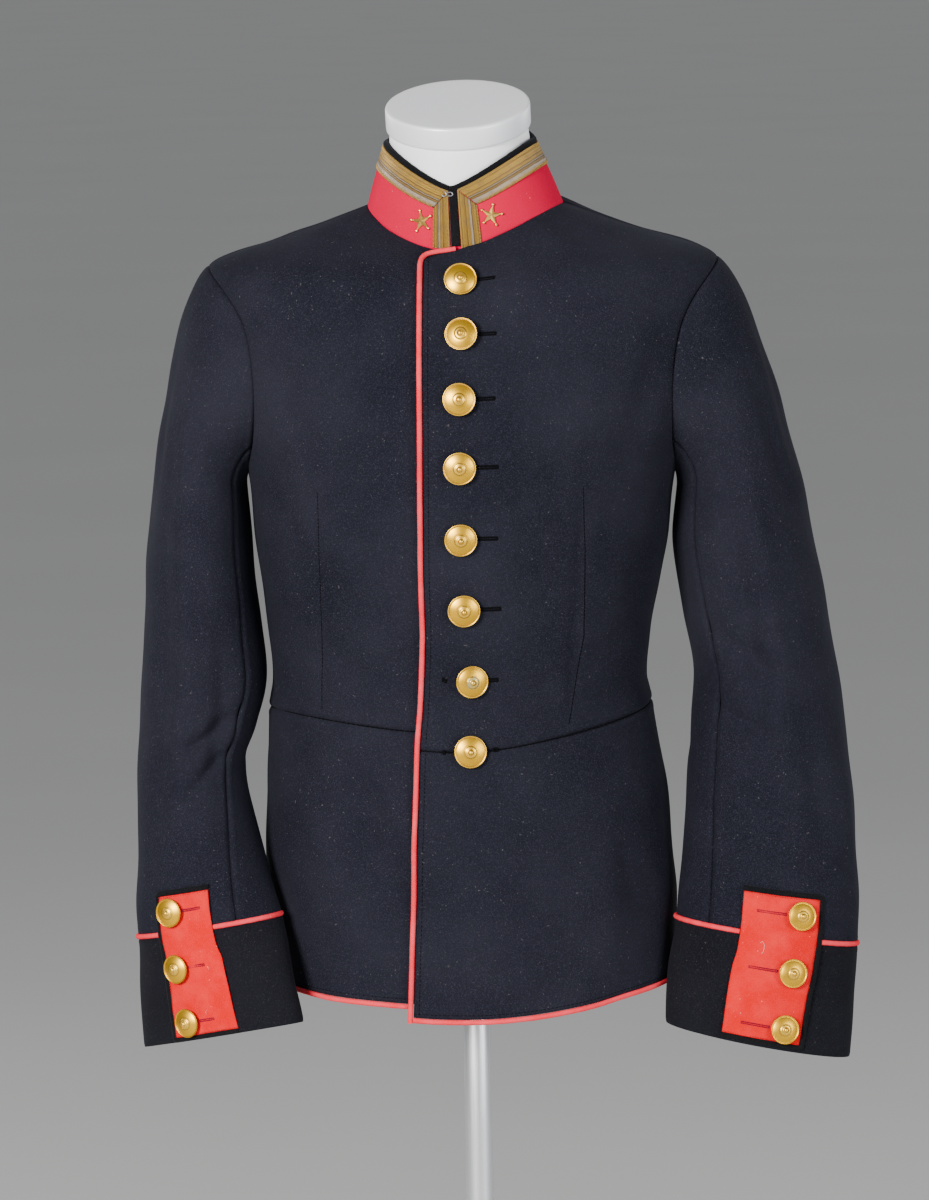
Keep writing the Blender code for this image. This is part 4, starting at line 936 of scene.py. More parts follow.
for side in ("left", "right"):
    laps, shares, sides = COLUMNS[side]
    for part, rows, ends in (("front", BODICE_ROWS, "b"), ("skirt_front", SKIRT_ROWS, "Bt")):
        grid = front_point(side, laps, shares, rows)
        sew(f"{part}_{side}", grid, body_creases(grid), sides + ends, (0.0, 0.0, grid[len(grid) // 2, 43, 2]),
            NAVY, "navy_wool")
    for part, rows, ends in (("back", BODICE_ROWS, "b"), ("skirt_back", SKIRT_ROWS, "Bt")):
        grid = back_point(side, BACK_PARTS, rows)
        sew(f"{part}_{side}", grid, body_creases(grid), "lr" + ends, (0.0, 0.0, grid[len(grid) // 2, 38, 2]),
            NAVY, "navy_wool")

# Sleeves and cuffs
SEAM_TURN = -0.25
SLEEVE_ROWS = np.concatenate(((0.0, 0.012), np.linspace(0.0, 1.0, 28)[1:-1], np.linspace(1.0, CUFF_ROW + SEAM_ROW, 108)))
SLEEVE_ROWS = SLEEVE_ROWS[:, None]
CUFF_ROWS = np.linspace(CUFF_ROW - SEAM_ROW, CUFF_END, 36)[:, None]
TOP_TURNS = np.radians(np.linspace(FORE_SEAM + SEAM_TURN, HIND_SEAM - SEAM_TURN, 88))[None, :]
UNDER_TURNS = np.radians(np.linspace(HIND_SEAM + SEAM_TURN, 360.0 + FORE_SEAM - SEAM_TURN, 66))[None, :]
CUFF_TURNS = np.radians(np.linspace(0.0, 360.0, 145)[:-1])[None, :]


def sleeve_middle(side, grid, row):
    ring = blend(SLEEVE[side], row - 1.0)
    return (MIRROR[side] * float(ring[1]), -float(ring[2]), float(grid[len(grid) // 2, grid.shape[1] // 2, 2]))


for side in ("left", "right"):
    for part, turns in (("top_sleeve", TOP_TURNS), ("under_sleeve", UNDER_TURNS)):
        grid = sleeve_raw(side, turns, SLEEVE_ROWS)
        middle = sleeve_middle(side, grid, float(SLEEVE_ROWS[len(grid) // 2, 0]))
        sew(f"{part}_{side}", grid, sleeve_creases(side, turns, SLEEVE_ROWS, grid), "lrbt", middle,
            NAVY, "navy_wool")
    grid = sleeve_raw(side, CUFF_TURNS, CUFF_ROWS)
    relief = unevenness(grid)
    for seam in (FORE_SEAM + 360.0, HIND_SEAM):
        away = (CUFF_TURNS - math.radians(seam)) * ANGLE_SIZE
        relief = relief - 0.0007 * np.exp(-((away / 0.0022) ** 2))
    sew(f"cuff_{side}", grid, relief, "bT", sleeve_middle(side, grid, 10.0), NAVY_CUFF_SHADED, "navy_wool",
        closed=True)

# Collar and its lace
LACE_OUT = LAP_GAP + LACE_THICKNESS
COLLAR_TURNS = np.radians(np.linspace(COLLAR_OPEN + COLLAR_SPLIT, COLLAR_OPEN - COLLAR_SPLIT + 360.0, 241))[None, :]
COLLAR_RISES = np.linspace(-0.03, 1.0, 24)[:, None]
grid = collar_raw(COLLAR_TURNS, COLLAR_RISES)
sew("collar", grid, np.zeros(grid.shape[:2]), "LRT", (0.0, 0.0, grid[11, 120, 2]), CRIMSON, "red_cloth",
    wall=COLLAR_WALL)


def lace_map(length, across):
    return np.stack(np.broadcast_arrays(length, across), -1)


rises = np.linspace(0.0, 1.0, 10)[:, None]
first = np.radians(LACE_LEFT[1] + (LACE_LEFT[0] - LACE_LEFT[1]) * rises)
last = np.radians(360.0 + LACE_RIGHT[0] + (LACE_RIGHT[1] - LACE_RIGHT[0]) * rises)
turns = first + (last - first) * np.linspace(0.0, 1.0, 260)[None, :]
grid = collar_point(turns, LACE_RISE[0] + (LACE_RISE[1] - LACE_RISE[0]) * rises, LACE_OUT)
sew("collar_lace_top", grid, np.zeros(grid.shape[:2]), "LRBT", (0.0, 0.0, grid[5, 130, 2]), LACE_TOP, "gold_lace",
    wall=LACE_THICKNESS, uv=lace_map(turns * 0.068, rises))

LACE_MITRE = 0.010
for side in ("left", "right"):
    near, far = LACE_LEFT if side == "left" else (LACE_RIGHT[1], LACE_RIGHT[0])
    share = np.linspace(0.0, 1.0, 15)[None, :]
    level = np.linspace(0.0, 1.0, 30)[:, None]
    top = LACE_RISE[1] + (LACE_RISE[0] - LACE_RISE[1]) * share - LACE_MITRE
    rise = LACE_FOOT_SEEN + (top - LACE_FOOT_SEEN) * level
    grid = collar_point(np.radians(near + (far - near) * share) + 0.0 * level, rise, LACE_OUT)
    sew(f"collar_lace_end_{side}", grid, np.zeros(grid.shape[:2]), "LRBT", (0.0, 0.0, grid[15, 7, 2]), LACE_END,
        "gold_lace", wall=LACE_THICKNESS, uv=lace_map(rise * COLLAR_HEIGHT, 1.0 - share))

turns = np.radians(np.linspace(BAND[0], BAND[1], 9))[None, :]
rise = np.linspace(LACE_FOOT, 0.985, 30)[:, None]
grid = collar_point(turns + 0.0 * rise, rise + 0.0 * turns, LACE_OUT)
sew("collar_band", grid, 0.4 * unevenness(6.0 * grid), "LRBT", (0.0, 0.0, grid[15, 4, 2]), BLACK, "black_cloth",
    wall=LACE_THICKNESS)


def tube(piece, points, radius, material, slot, *nodes, sides=3, swell=0.0):
    """A round cord through points, a little uneven in thickness."""
    curve = bpy.data.curves.new(piece, "CURVE")
    curve.dimensions = "3D"
    curve.bevel_depth = radius
    curve.bevel_resolution = sides
    curve.use_fill_caps = True
    line = curve.splines.new("POLY")
    line.points.add(len(points) - 1)
    for number, (at, point) in enumerate(zip(line.points, points)):
        at.co = (*point, 1.0)
        at.radius = 1.0 + swell * math.sin(1.7 * number) * math.sin(0.61 * number + 1.0)
    line.use_smooth = True
    thing = bpy.data.objects.new(piece, curve)
    bpy.context.scene.collection.objects.link(thing)
    return dress(thing, material, slot, *nodes)


# The black edge along the top hugs the collar
CORD_SEEN = 0.0026
CORD_RISE = 0.0013
turns = COLLAR_TURNS[0]
top = collar_point(turns, np.ones_like(turns), -COLLAR_WALL / 2.0)
below = collar_point(turns, np.full_like(turns, 0.9), -COLLAR_WALL / 2.0)
rise = (top - below) / np.linalg.norm(top - below, axis=-1, keepdims=True)
tube("collar_cord_edge", top + rise * CORD_RISE, CORD_SEEN, BLACK, "black_cloth",
     "collar_cord", swell=0.05)

# Piping of the front edge, of the hem and of the cuffs
PIPE_OUT = LAP_GAP + PIPING_RADIUS
PIPE_SIDE = PIPING_RADIUS + SEAM
PIPE_TOP = ((0.0250, 11.87), (0.0200, 11.80), (0.0150, 11.73), (0.0105, 11.66), (0.0065, 11.58), (0.0028, 11.49),
            (0.0004, 11.38), (-0.0012, 11.27), (-0.0020, 11.15))


def front_line(away, row):
    return on_body(turn_at(along(EDGE, row) + away, row), row, PIPE_OUT)


away = np.array([at for at, row in PIPE_TOP] + [-PIPE_SIDE] * 130)
row = np.concatenate(([row for at, row in PIPE_TOP], np.linspace(11.0, 0.0, 130)))
line = front_line(away, row)
foot = line[-1] - np.array((0.0, 0.0, PIPE_SIDE + PIPING_RADIUS))
tube("front_piping_cord", np.concatenate((line, foot[None])), PIPING_RADIUS, PIPING, "red_piping", "front_piping", swell=0.04)


def hem_line(side, drop, out):
    """Line round the hem, from the front edge to the back seam."""
    if side == "left":
        lap, share = LAPS[0], SHARES[0]
    else:
        lap = np.concatenate(([-PIPE_SIDE - PIPING_RADIUS - LAP_GAP], np.zeros(62)))
        share = np.concatenate(([0.0], np.linspace(0.0, 1.0, 63)[1:]))
    ahead = front_point(side, lap, share, np.zeros_like(lap), out)
    behind = back_point(side, BACK_PARTS[0, 1:], np.zeros(BACK_PARTS.size - 1), out)
    line = np.concatenate((ahead, behind))
    away = line * np.array((1.0, 1.0, 0.0)) / np.hypot(line[:, 0], line[:, 1])[:, None]
    return line + away * body_creases(line)[:, None] - np.array((0.0, 0.0, drop))


for side in ("left", "right"):
    tube(f"hem_piping_{side}_cord", hem_line(side, PIPE_SIDE, -WALL / 2.0), PIPING_RADIUS, PIPING, "red_piping",
         f"hem_piping_{side}", swell=0.04)


def flap_at(side, row):
    rows = FLAP[side]
    return np.interp(row, rows[:, 0], rows[:, 1]), np.interp(row, rows[:, 0], rows[:, 2])


def beside(side, turn, row, across, down, out):
    """Point of a sleeve this far across and down from a direction in degrees and section."""
    step = 0.01
    angle = np.radians(turn)
    wide = np.linalg.norm(sleeve_raw(side, angle + step, row) - sleeve_raw(side, angle - step, row), axis=-1) / 0.02
    held = np.minimum(row, CUFF_END - 2.0 * step)
    long = np.linalg.norm(sleeve_raw(side, angle, held + step) - sleeve_raw(side, angle, held - step), axis=-1) / 0.02
    return sleeve_point(side, angle + across / wide, row + down / long, out)


def flap_border(side):
    """Places round the flap's top, outer and bottom sides, and the way out of the flap, round at corners."""
    rows = FLAP[side]
    top, foot = rows[0, 0], rows[-1, 0]
    parts = np.linspace(0.0, 1.0, 30)
    top_line = [(rows[0, 1] + (rows[0, 2] - rows[0, 1]) * part, top, 0.0, -1.0) for part in parts]
    bend = [(rows[0, 2], top, math.sin(turn), -math.cos(turn)) for turn in np.linspace(0.2, 1.4, 6)]
    side_line = [(flap_at(side, row)[1], row, 1.0, 0.0) for row in np.linspace(top, foot, 70)]
    low_bend = [(rows[-1, 2], foot, math.cos(turn), math.sin(turn)) for turn in np.linspace(0.2, 1.4, 6)]
    low_line = [(rows[-1, 2] + (rows[-1, 1] - rows[-1, 2]) * part, foot, 0.0, 1.0) for part in parts]
    return np.array(top_line + bend + side_line + low_bend + low_line)


FLAP_OUT = FLAP_GAP + FLAP_WALL
for side in ("left", "right"):
    rows = np.linspace(FLAP[side][0, 0], FLAP[side][-1, 0], 84)[:, None]
    inner, outer = flap_at(side, rows)
    turns = np.radians(inner + (outer - inner) * np.linspace(0.0, 1.0, 40)[None, :])
    grid = sleeve_point(side, turns, rows + 0.0 * turns, FLAP_OUT)
    sew(f"cuff_flap_{side}", grid, 0.5 * unevenness(3.0 * grid), "LRBT", sleeve_middle(side, grid, 9.6), SCARLET,
        "red_cloth", wall=FLAP_WALL)
    border = flap_border(side)
    away = np.linspace(0.0, FLAP_EDGE + 0.0006, 9)[:, None]
    turn, row, across, down = (border[None, :, column] + 0.0 * away for column in range(4))
    grid = beside(side, turn, row, across * away, down * away, FLAP_GAP + FLAP_EDGE_WALL)
    swell = 0.0009 * np.sin(math.pi * np.linspace(0.0, 1.0, 9))[:, None]
    sew(f"flap_edge_{side}", grid, swell + 0.0 * away * turn, "BT", sleeve_middle(side, grid, 9.6), BLACK,
        "black_cloth", wall=FLAP_EDGE_WALL)
    inner, outer = flap_at(side, CUFF_ROW)
    turns = np.radians(np.linspace(outer + 4.0, 360.0 + inner - 0.4, 150))
    tube(f"cuff_piping_{side}_cord", sleeve_point(side, turns, np.full_like(turns, CUFF_ROW), 0.0002),
         PIPING_RADIUS, PIPING, "red_piping", f"cuff_piping_{side}", swell=0.05)


# Form, neck cap, pole and base
def inset(row):
    shoulder = FORM_SHOULDER * smooth(8.0, 9.6, row) * smooth(11.8, 10.8, row)
    return WALL + FORM_CLEARANCE + shoulder + FORM_EASE * smooth(9.0, 5.0, row)


cap_frame = (Matrix.Translation(CAP_FOOT) @ Matrix.Rotation(math.radians(CAP_LIST), 4, "Y")
             @ Matrix.Rotation(math.radians(CAP_TILT), 4, "X"))


def placed(matrix, points):
    turn = np.array(matrix.to_3x3())
    return points @ turn.T + np.array(matrix.translation)


def ring_blend(first, second, shares):
    return [first + (second - first) * share for share in shares]


form_turns = np.linspace(0.0, 2.0 * math.pi, 129)[:-1]
levels = [body_point(form_turns, np.full_like(form_turns, row), -inset(row)) for row in np.linspace(1.35, 12.0, 110)]
foot = levels[0] * np.array((0.95, 0.95, 0.0)) + np.array((0.0, 0.0, FORM_FOOT))
bottom = [foot * np.array((share, share, 1.0)) for share in (0.08, 0.35, 0.65, 0.90, 0.975)]
ring_top = np.stack((NECK_TOP * np.sin(form_turns), -NECK_TOP * np.cos(form_turns), 0.0 * form_turns - SEAM), -1)
neck_top = placed(cap_frame, ring_top)
neck_low = on_section(np.broadcast_to(NECK[0], (128, 9)), form_turns)
neck_high = on_section(np.broadcast_to(NECK[1], (128, 9)), form_turns)
neck = ring_blend(levels[-1], neck_low, (0.5, 1.0)) + ring_blend(neck_low, neck_high, (0.33, 0.67, 1.0))
neck += ring_blend(neck_high, neck_top, (0.2, 0.4, 0.6, 0.8, 0.96, 1.0))
neck.append(placed(cap_frame, ring_top * np.array((0.9, 0.9, 1.0))))
grid = np.stack(bottom + [foot + (levels[0] - foot) * share for share in (0.0, 0.12, 0.5)] + levels + neck)
torso = grid_object("form_torso_cover", grid, closed=True, wall=0.0, flip=not facing_out(grid, (0.0, 0.0, 1.2)))
work = bmesh.new()
work.from_mesh(torso.data)
bmesh.ops.holes_fill(work, edges=[edge for edge in work.edges if edge.is_boundary], sides=0)
work.to_mesh(torso.data)
work.free()
dress(torso, FORM_WHITE, "white_form", "form_torso")


def turned(piece, outline, count, matrix, material, slot, *nodes, scale=1.0):
    """A turned piece about its own Z axis: the outline goes from the top's middle to the foot's middle."""
    work = bmesh.new()
    rings = []
    for radius, height in outline:
        if radius == 0.0:
            rings.append([work.verts.new((0.0, 0.0, height * scale))])
            continue
        turns = [2.0 * math.pi * number / count for number in range(count)]
        rings.append([work.verts.new((radius * scale * math.cos(turn), radius * scale * math.sin(turn), height * scale))
                      for turn in turns])
    for upper, lower in zip(rings, rings[1:]):
        for number in range(count):
            after = (number + 1) % count
            corners = [upper[number % len(upper)], lower[number % len(lower)],
                       lower[after % len(lower)], upper[after % len(upper)]]
            corners = list(dict.fromkeys(corners))
            if len(corners) > 2:
                work.faces.new(corners)
    bmesh.ops.recalc_face_normals(work, faces=work.faces)
    mesh = bpy.data.meshes.new(piece)
    work.to_mesh(mesh)
    work.free()
    mesh.polygons.foreach_set("use_smooth", [True] * len(mesh.polygons))
    thing = bpy.data.objects.new(piece, mesh)
    bpy.context.scene.collection.objects.link(thing)
    thing.matrix_world = matrix
    return dress(thing, material, slot, *nodes)


CAP_OUTLINE = ((0.0, 0.0185), (0.020, 0.0185), (0.040, 0.0185), (0.0540, 0.0185), (0.0555, 0.0184), (0.0563, 0.0180),
               (0.0569, 0.0172), (0.0572, 0.0160), (0.0572, 0.0100), (0.0572, 0.0022), (0.0570, 0.0010),
               (0.0565, 0.0003), (0.0558, 0.0000), (0.0550, 0.0001), (0.0, 0.0001))
turned("neck_cap_cover", CAP_OUTLINE, 160, cap_frame, CAP_SILVER, "silver_paint", "neck_cap")

POLE_TOP = FORM_FOOT - BASE_HEIGHT - 2.0 * SEAM
POLE_OUTLINE = ((0.0, POLE_TOP), (0.0104, POLE_TOP), (0.0112, POLE_TOP - 0.0008), (0.0112, POLE_TOP * 0.75),
                (0.0112, POLE_TOP * 0.5), (0.0112, POLE_TOP * 0.25), (0.0112, 0.0006), (0.0108, 0.0), (0.0, 0.0))
turned("pole", POLE_OUTLINE, 72, Matrix.Translation((0.0, 0.0, BASE_HEIGHT + SEAM)), POLE_METAL, "brushed_metal",
       "stand_pole")
BASE_OUTLINE = ((0.0, 0.0100), (0.080, 0.0100), (0.1640, 0.0100), (0.1670, 0.0098), (0.1688, 0.0091), (0.1698, 0.0078),
                (0.1700, 0.0060), (0.1700, 0.0012), (0.1696, 0.0004), (0.1688, 0.0), (0.0, 0.0))
turned("base_plate", BASE_OUTLINE, 160, Matrix.Identity(4), BASE_METAL, "brushed_metal", "stand_base")


# Buttons
def facing(point, away, yaw=0.0, pitch=0.0):
    """Placement at a point with Z facing away from the cloth and Y up, turned a little."""
    away = Vector(away)
    up = Vector((0.0, 0.0, 1.0))
    across = up.cross(away).normalized()
    upright = away.cross(across).normalized()
    frame = Matrix((across, upright, away)).transposed().to_4x4()
    tilt = Matrix.Rotation(math.radians(yaw), 4, "Y") @ Matrix.Rotation(math.radians(-pitch), 4, "X")
    return Matrix.Translation(Vector(point)) @ frame @ tilt


# Turned outline of a button, from the boss to the shank: radius and height
BUTTON_OUTLINE = ((0.0, 0.0092), (0.0007, 0.0091), (0.0013, 0.0088), (0.0018, 0.0083), (0.0021, 0.0077),
                  (0.0024, 0.0072), (0.0030, 0.0070), (0.0036, 0.0069), (0.0042, 0.0067), (0.0046, 0.0064),
                  (0.0048, 0.0061), (0.0053, 0.0060), (0.0060, 0.0059), (0.0070, 0.0056), (0.0085, 0.0051),
                  (0.0100, 0.0045), (0.0110, 0.0040), (0.0115, 0.0037), (0.0117, 0.0038), (0.0119, 0.0041),
                  (0.0122, 0.0043), (0.0126, 0.0042), (0.0128, 0.0038), (0.0127, 0.0033), (0.0122, 0.0029),
                  (0.0100, 0.0024), (0.0050, 0.0016), (0.0030, 0.0012), (0.0026, 0.0000), (0.0, 0.0))
BUTTON_SEAT = SEAM + 0.0002
CUFF_BUTTON_SCALE = 0.90
button_places = []
for number, button in enumerate(FRONT_BUTTONS, 1):
    turn, row = place_at(button.across, button.height)
    away = outward(body_raw, np.array(turn), np.array(row))
    lift = 0.0026 * math.sin(math.radians(abs(button.yaw) + abs(button.pitch)))
    spot = on_body(turn, row, LAP_GAP + WALL + BUTTON_SEAT + lift)
    matrix = facing(spot, away, button.yaw, button.pitch)
    turned(f"button_{number}_gilt", BUTTON_OUTLINE, 64, matrix, GILT_GREEN if number == 7 else GILT, "gilt", f"button_{number}")
    button_places.append((turn, row))
for side in ("left", "right"):
    for number, (degrees, row) in enumerate(CUFF_BUTTONS[side], 1):
        angle = math.radians(degrees)
        low = sleeve_point(side, angle, row, 0.0)
        away = sleeve_point(side, angle, row, 0.001) - low
        matrix = facing(sleeve_point(side, angle, row, FLAP_OUT + BUTTON_SEAT), away / np.linalg.norm(away))
        turned(f"cuff_button_{side}_{number}_gilt", BUTTON_OUTLINE, 64, matrix, GILT, "gilt",
               f"cuff_button_{side}_{number}", scale=CUFF_BUTTON_SCALE)


# Stars of the collar: five ridged arms that end in small knobs
STAR_ARM = 0.0084
STAR_NOTCH = 0.0031
STAR_TOP = 0.0021
STAR_EDGE = 0.0007
KNOB = 0.0011


def star(piece, matrix, node):
    work = bmesh.new()
    middle = work.verts.new((0.0, 0.0, STAR_TOP))
    low_middle = work.verts.new((0.0, 0.0, 0.0))
    rim, foot = [], []
    for number in range(10):
        turn = math.pi / 2.0 + number * math.pi / 5.0
        size = STAR_NOTCH if number % 2 else STAR_ARM
        high = STAR_EDGE if number % 2 else STAR_EDGE + 0.0003
        rim.append(work.verts.new((size * math.cos(turn), size * math.sin(turn), high)))
        foot.append(work.verts.new((size * math.cos(turn), size * math.sin(turn), 0.0)))
    for number in range(10):
        after = (number + 1) % 10
        work.faces.new((middle, rim[number], rim[after]))
        work.faces.new((rim[number], foot[number], foot[after], rim[after]))
        work.faces.new((low_middle, foot[after], foot[number]))
    for number in range(5):
        turn = math.pi / 2.0 + number * 2.0 * math.pi / 5.0
        spot = Matrix.Translation((STAR_ARM * math.cos(turn), STAR_ARM * math.sin(turn), KNOB * 0.8))
        bmesh.ops.create_uvsphere(work, u_segments=14, v_segments=8, radius=KNOB,
                                  matrix=spot @ Matrix.Diagonal((1.0, 1.0, 0.75, 1.0)))
        neck_spot = Matrix.Translation((0.82 * STAR_ARM * math.cos(turn), 0.82 * STAR_ARM * math.sin(turn), 0.0008))
        bmesh.ops.create_uvsphere(work, u_segments=10, v_segments=6, radius=0.00065, matrix=neck_spot)
    bmesh.ops.recalc_face_normals(work, faces=work.faces)
    mesh = bpy.data.meshes.new(piece)
    work.to_mesh(mesh)
    work.free()
    for face in mesh.polygons:
        face.use_smooth = len(face.vertices) == 4 and face.area < 0.0000004
    thing = bpy.data.objects.new(piece, mesh)
    bpy.context.scene.collection.objects.link(thing)
    thing.matrix_world = matrix
    return dress(thing, STAR_GILT, "gilt", node)


STAR_ROLL = {"left": -12.0, "right": 12.0}
for side, (degrees, rise) in STARS.items():
    turn = math.radians(degrees)
    away = outward(collar_raw, np.array(turn), np.array(rise))
    spot = collar_point(turn, rise, SEAM)
    star(f"star_{side}_gilt", facing(spot, away) @ Matrix.Rotation(math.radians(STAR_ROLL[side]), 4, "Z"),
         f"star_{side}")

# Hook and eye
HOOK_RADIUS = 0.0005
EYE_WIRE = ((0.0000, 0.0018), (0.0008, 0.0016), (0.0014, 0.0011), (0.0018, 0.0000), (0.0014, -0.0011),
            (0.0008, -0.0016), (0.0000, -0.0018), (-0.0008, -0.0016), (-0.0014, -0.0011), (-0.0018, -0.0002))
HOOK_WIRE = ((0.0030, 0.0014), (0.0042, 0.0015), (0.0055, 0.0014), (0.0064, 0.0009), (0.0067, 0.0000),
             (0.0064, -0.0009), (0.0055, -0.0014), (0.0042, -0.0015), (0.0030, -0.0014))
turn = math.radians(EYE_TURN)
hook_frame = facing(collar_point(turn, HOOK_RISE, LACE_OUT + SEAM + HOOK_RADIUS),
                    outward(collar_raw, np.array(turn), np.array(HOOK_RISE)), 2.0)
for piece, wire in (("collar_eye", EYE_WIRE), ("collar_hook", HOOK_WIRE)):
    points = [tuple(hook_frame @ Vector((*at, 0.0))) for at in wire]
    tube(f"{piece}_wire", points, HOOK_RADIUS, WIRE, "white_metal", piece)


# Sewing
def stitches(piece, runs, radius, material, slot):
    """Many short stitches as one mesh. Each run is its ends, as rows of six numbers."""
    runs = np.asarray(runs, float)
    start, end = runs[:, :3], runs[:, 3:]
    along_run = end - start
    along_run /= np.maximum(np.linalg.norm(along_run, axis=1, keepdims=True), 1e-9)
    helper = np.where(np.abs(along_run[:, 2:3]) > 0.8, np.array((1.0, 0.0, 0.0)), np.array((0.0, 0.0, 1.0)))
    east = np.cross(along_run, helper)
    east /= np.linalg.norm(east, axis=1, keepdims=True)
    north = np.cross(along_run, east)
    rings = []
    for share, size in ((0.0, 0.35), (0.18, 0.95), (0.5, 1.1), (0.82, 0.95), (1.0, 0.35)):
        at = start + (end - start) * share
        for number in range(6):
            turn = 2.0 * math.pi * number / 6.0
            rings.append(at + (east * math.cos(turn) + north * math.sin(turn)) * radius * size)
    points = np.stack(rings, 1)
    faces = []
    for ring in range(4):
        for number in range(6):
            after = (number + 1) % 6
            faces.append((ring * 6 + number, ring * 6 + after, ring * 6 + 6 + after, ring * 6 + 6 + number))
    faces = np.array(faces)
    count = len(runs)
    shifted = (faces[None] + 30 * np.arange(count)[:, None, None]).reshape(-1, 4)
    caps = [list(range(30 * number + 5, 30 * number - 1, -1)) for number in range(count)]
    caps += [list(range(30 * number + 24, 30 * number + 30)) for number in range(count)]
    mesh = bpy.data.meshes.new(piece)
    mesh.from_pydata(points.reshape(-1, 3).tolist(), [], shifted.tolist() + caps)
    mesh.polygons.foreach_set("use_smooth", [True] * len(mesh.polygons))
    thing = bpy.data.objects.new(piece, mesh)
    bpy.context.scene.collection.objects.link(thing)
    return dress(thing, material, slot)


def walk(points, length, gap):
    """Stitches of one length along a line."""
    points = np.asarray(points)
    legs = np.concatenate(([0.0], np.cumsum(np.linalg.norm(np.diff(points, axis=0), axis=1))))
    starts = np.arange(0.0, legs[-1] - length, length + gap)

    def at(where):
        return np.stack([np.interp(where, legs, points[:, axis]) for axis in range(3)], -1)

    return np.concatenate((at(starts), at(starts + length)), axis=1)


def on_front(across, height, out):
    """Places on the buttoned front."""
    return on_body(*place_at(np.asarray(across), np.asarray(height)), out)


# Lines beside the front edge and round the hem
OVER = LAP_GAP + WALL
EDGE_STITCH = 0.0042
rows = np.linspace(0.06, 11.25, 200)
edge_line = on_body(turn_at(along(EDGE, rows) + EDGE_STITCH, rows), rows, OVER + 0.0001)
corner_rows = np.array([row - 0.10 for at, row in PIPE_TOP][::-1])
corner_away = np.array([max(at, 0.0) + EDGE_STITCH * 0.7 for at, row in PIPE_TOP][::-1])
corner_line = on_body(turn_at(along(EDGE, corner_rows) + corner_away, corner_rows), corner_rows, OVER + 0.0001)
stitches("front_edge_stitches", np.concatenate((walk(edge_line, 0.0024, 0.0009), walk(corner_line[1:], 0.0024, 0.0009))),
         0.00020, BLACK_THREAD_AND_SHADE, "navy_wool")
hem_runs = []
for side in ("left", "right"):
    raised = np.full(87 if side == "left" else 63, 0.075)
    if side == "left":
        ahead = front_point(side, LAPS[0], SHARES[0], raised, 0.0001)
    else:
        ahead = front_point(side, np.zeros(63), np.linspace(0.0, 1.0, 63), raised, 0.0001)
    behind = back_point(side, BACK_PARTS[0, 1:], np.full(BACK_PARTS.size - 1, 0.075), 0.0001)
    line = np.concatenate((ahead, behind))
    away = line * np.array((1.0, 1.0, 0.0)) / np.hypot(line[:, 0], line[:, 1])[:, None]
    hem_runs.append(walk(line + away * body_creases(line)[:, None], 0.0024, 0.0009))
stitches("hem_stitches", np.concatenate(hem_runs), 0.00020, BLACK_THREAD_AND_SHADE, "navy_wool")

# Darts of the fronts: across and height of their bends
DARTS = {
    "left": ((0.0902, 1.230), (0.0915, 1.180), (0.0895, 1.110), (0.0772, 1.040)),
    "right": ((-0.1168, 1.229), (-0.1172, 1.170), (-0.1172, 1.100), (-0.1170, 1.053)),
}
for side, bends in DARTS.items():
    bends = np.array(bends)
    heights = np.linspace(bends[0, 1], bends[-1, 1], 60)
    across = np.interp(heights, bends[::-1, 1], bends[::-1, 0])
    line = on_front(across, heights, 0.0)
    away = outward(body_raw, *place_at(across, heights))
    lift = (OVER * (1.0 - smooth(UNDERLAP + 0.003, UNDERLAP + LAP_FADE, np.abs(across + 0.035)))
            if side == "left" else 0.0 * across)
    line = line + away * (lift - 0.0001)[:, None]
    # A black cord half sunk along each dart: painted shade of the dart's fold.
    stitches(f"dart_painted_shade_{side}", walk(line, 0.0030, 0.0), 0.00042, BLACK_THREAD_AND_SHADE, "navy_wool")


# Black cord down in the waist seam: painted shade of the seam's valley
seam_runs = []
for side in ("left", "right"):
    laps, shares, _ = COLUMNS[side]
    line = front_point(side, laps[0], shares[0], np.full(laps.size, WAIST))
    seam_runs.append(line)
for side in ("left", "right"):
    seam_runs.append(back_point(side, BACK_PARTS[0], np.full(BACK_PARTS.size, WAIST)))
inward = np.array((0.992, 0.992, 1.0))
stitches("waist_seam_painted_shade", np.concatenate([walk(line * inward, 0.0040, 0.0) for line in seam_runs]), 0.00050,
         BLACK_THREAD_AND_SHADE, "navy_wool")


def buttonhole(place, length, width, runs, run_back=0.0):
    """Worked buttonhole: close stitches across both lips, and a bar at each end."""
    count = int(length / 0.00085)
    for number in range(count):
        part = run_back + length * (number + 0.5) / count
        wobble = 0.00016 * math.sin(2.9 * number)
        for lip in (-1.0, 1.0):
            runs.append((*place(part, lip * (0.00022 + wobble * 0.3), 0.0002), *place(part + 0.0001, lip * width, 0.0001)))
    for end in (run_back, run_back + length):
        runs.append((*place(end, -width, 0.0002), *place(end, width, 0.0002)))


# Buttonholes of the front: start and end past the button, as seen beside each one
HOLES = ((0.0125, 0.0135), (0.0125, 0.0135), (0.0122, 0.0150), (0.0122, 0.0170), (0.0125, 0.0155), (0.0128, 0.0155),
         (0.0120, 0.0080), (0.0180, 0.0030))
hole_runs = []
for (turn, row), button, (start, length) in zip(button_places, FRONT_BUTTONS, HOLES):
    away = outward(body_raw, np.array(turn), np.array(row))

    def place(across, up, out, button=button, turn=turn, row=row):
        here = float(turn_at(button.across + across, row))
        point = on_body(np.array(here), row, OVER + out + 0.0001)
        return tuple(point + np.array((0.0, 0.0, up)))

    buttonhole(place, length, 0.00165, hole_runs, start)
stitches("front_buttonholes", hole_runs, 0.00070, BLACK_THREAD_AND_SHADE, "navy_wool")

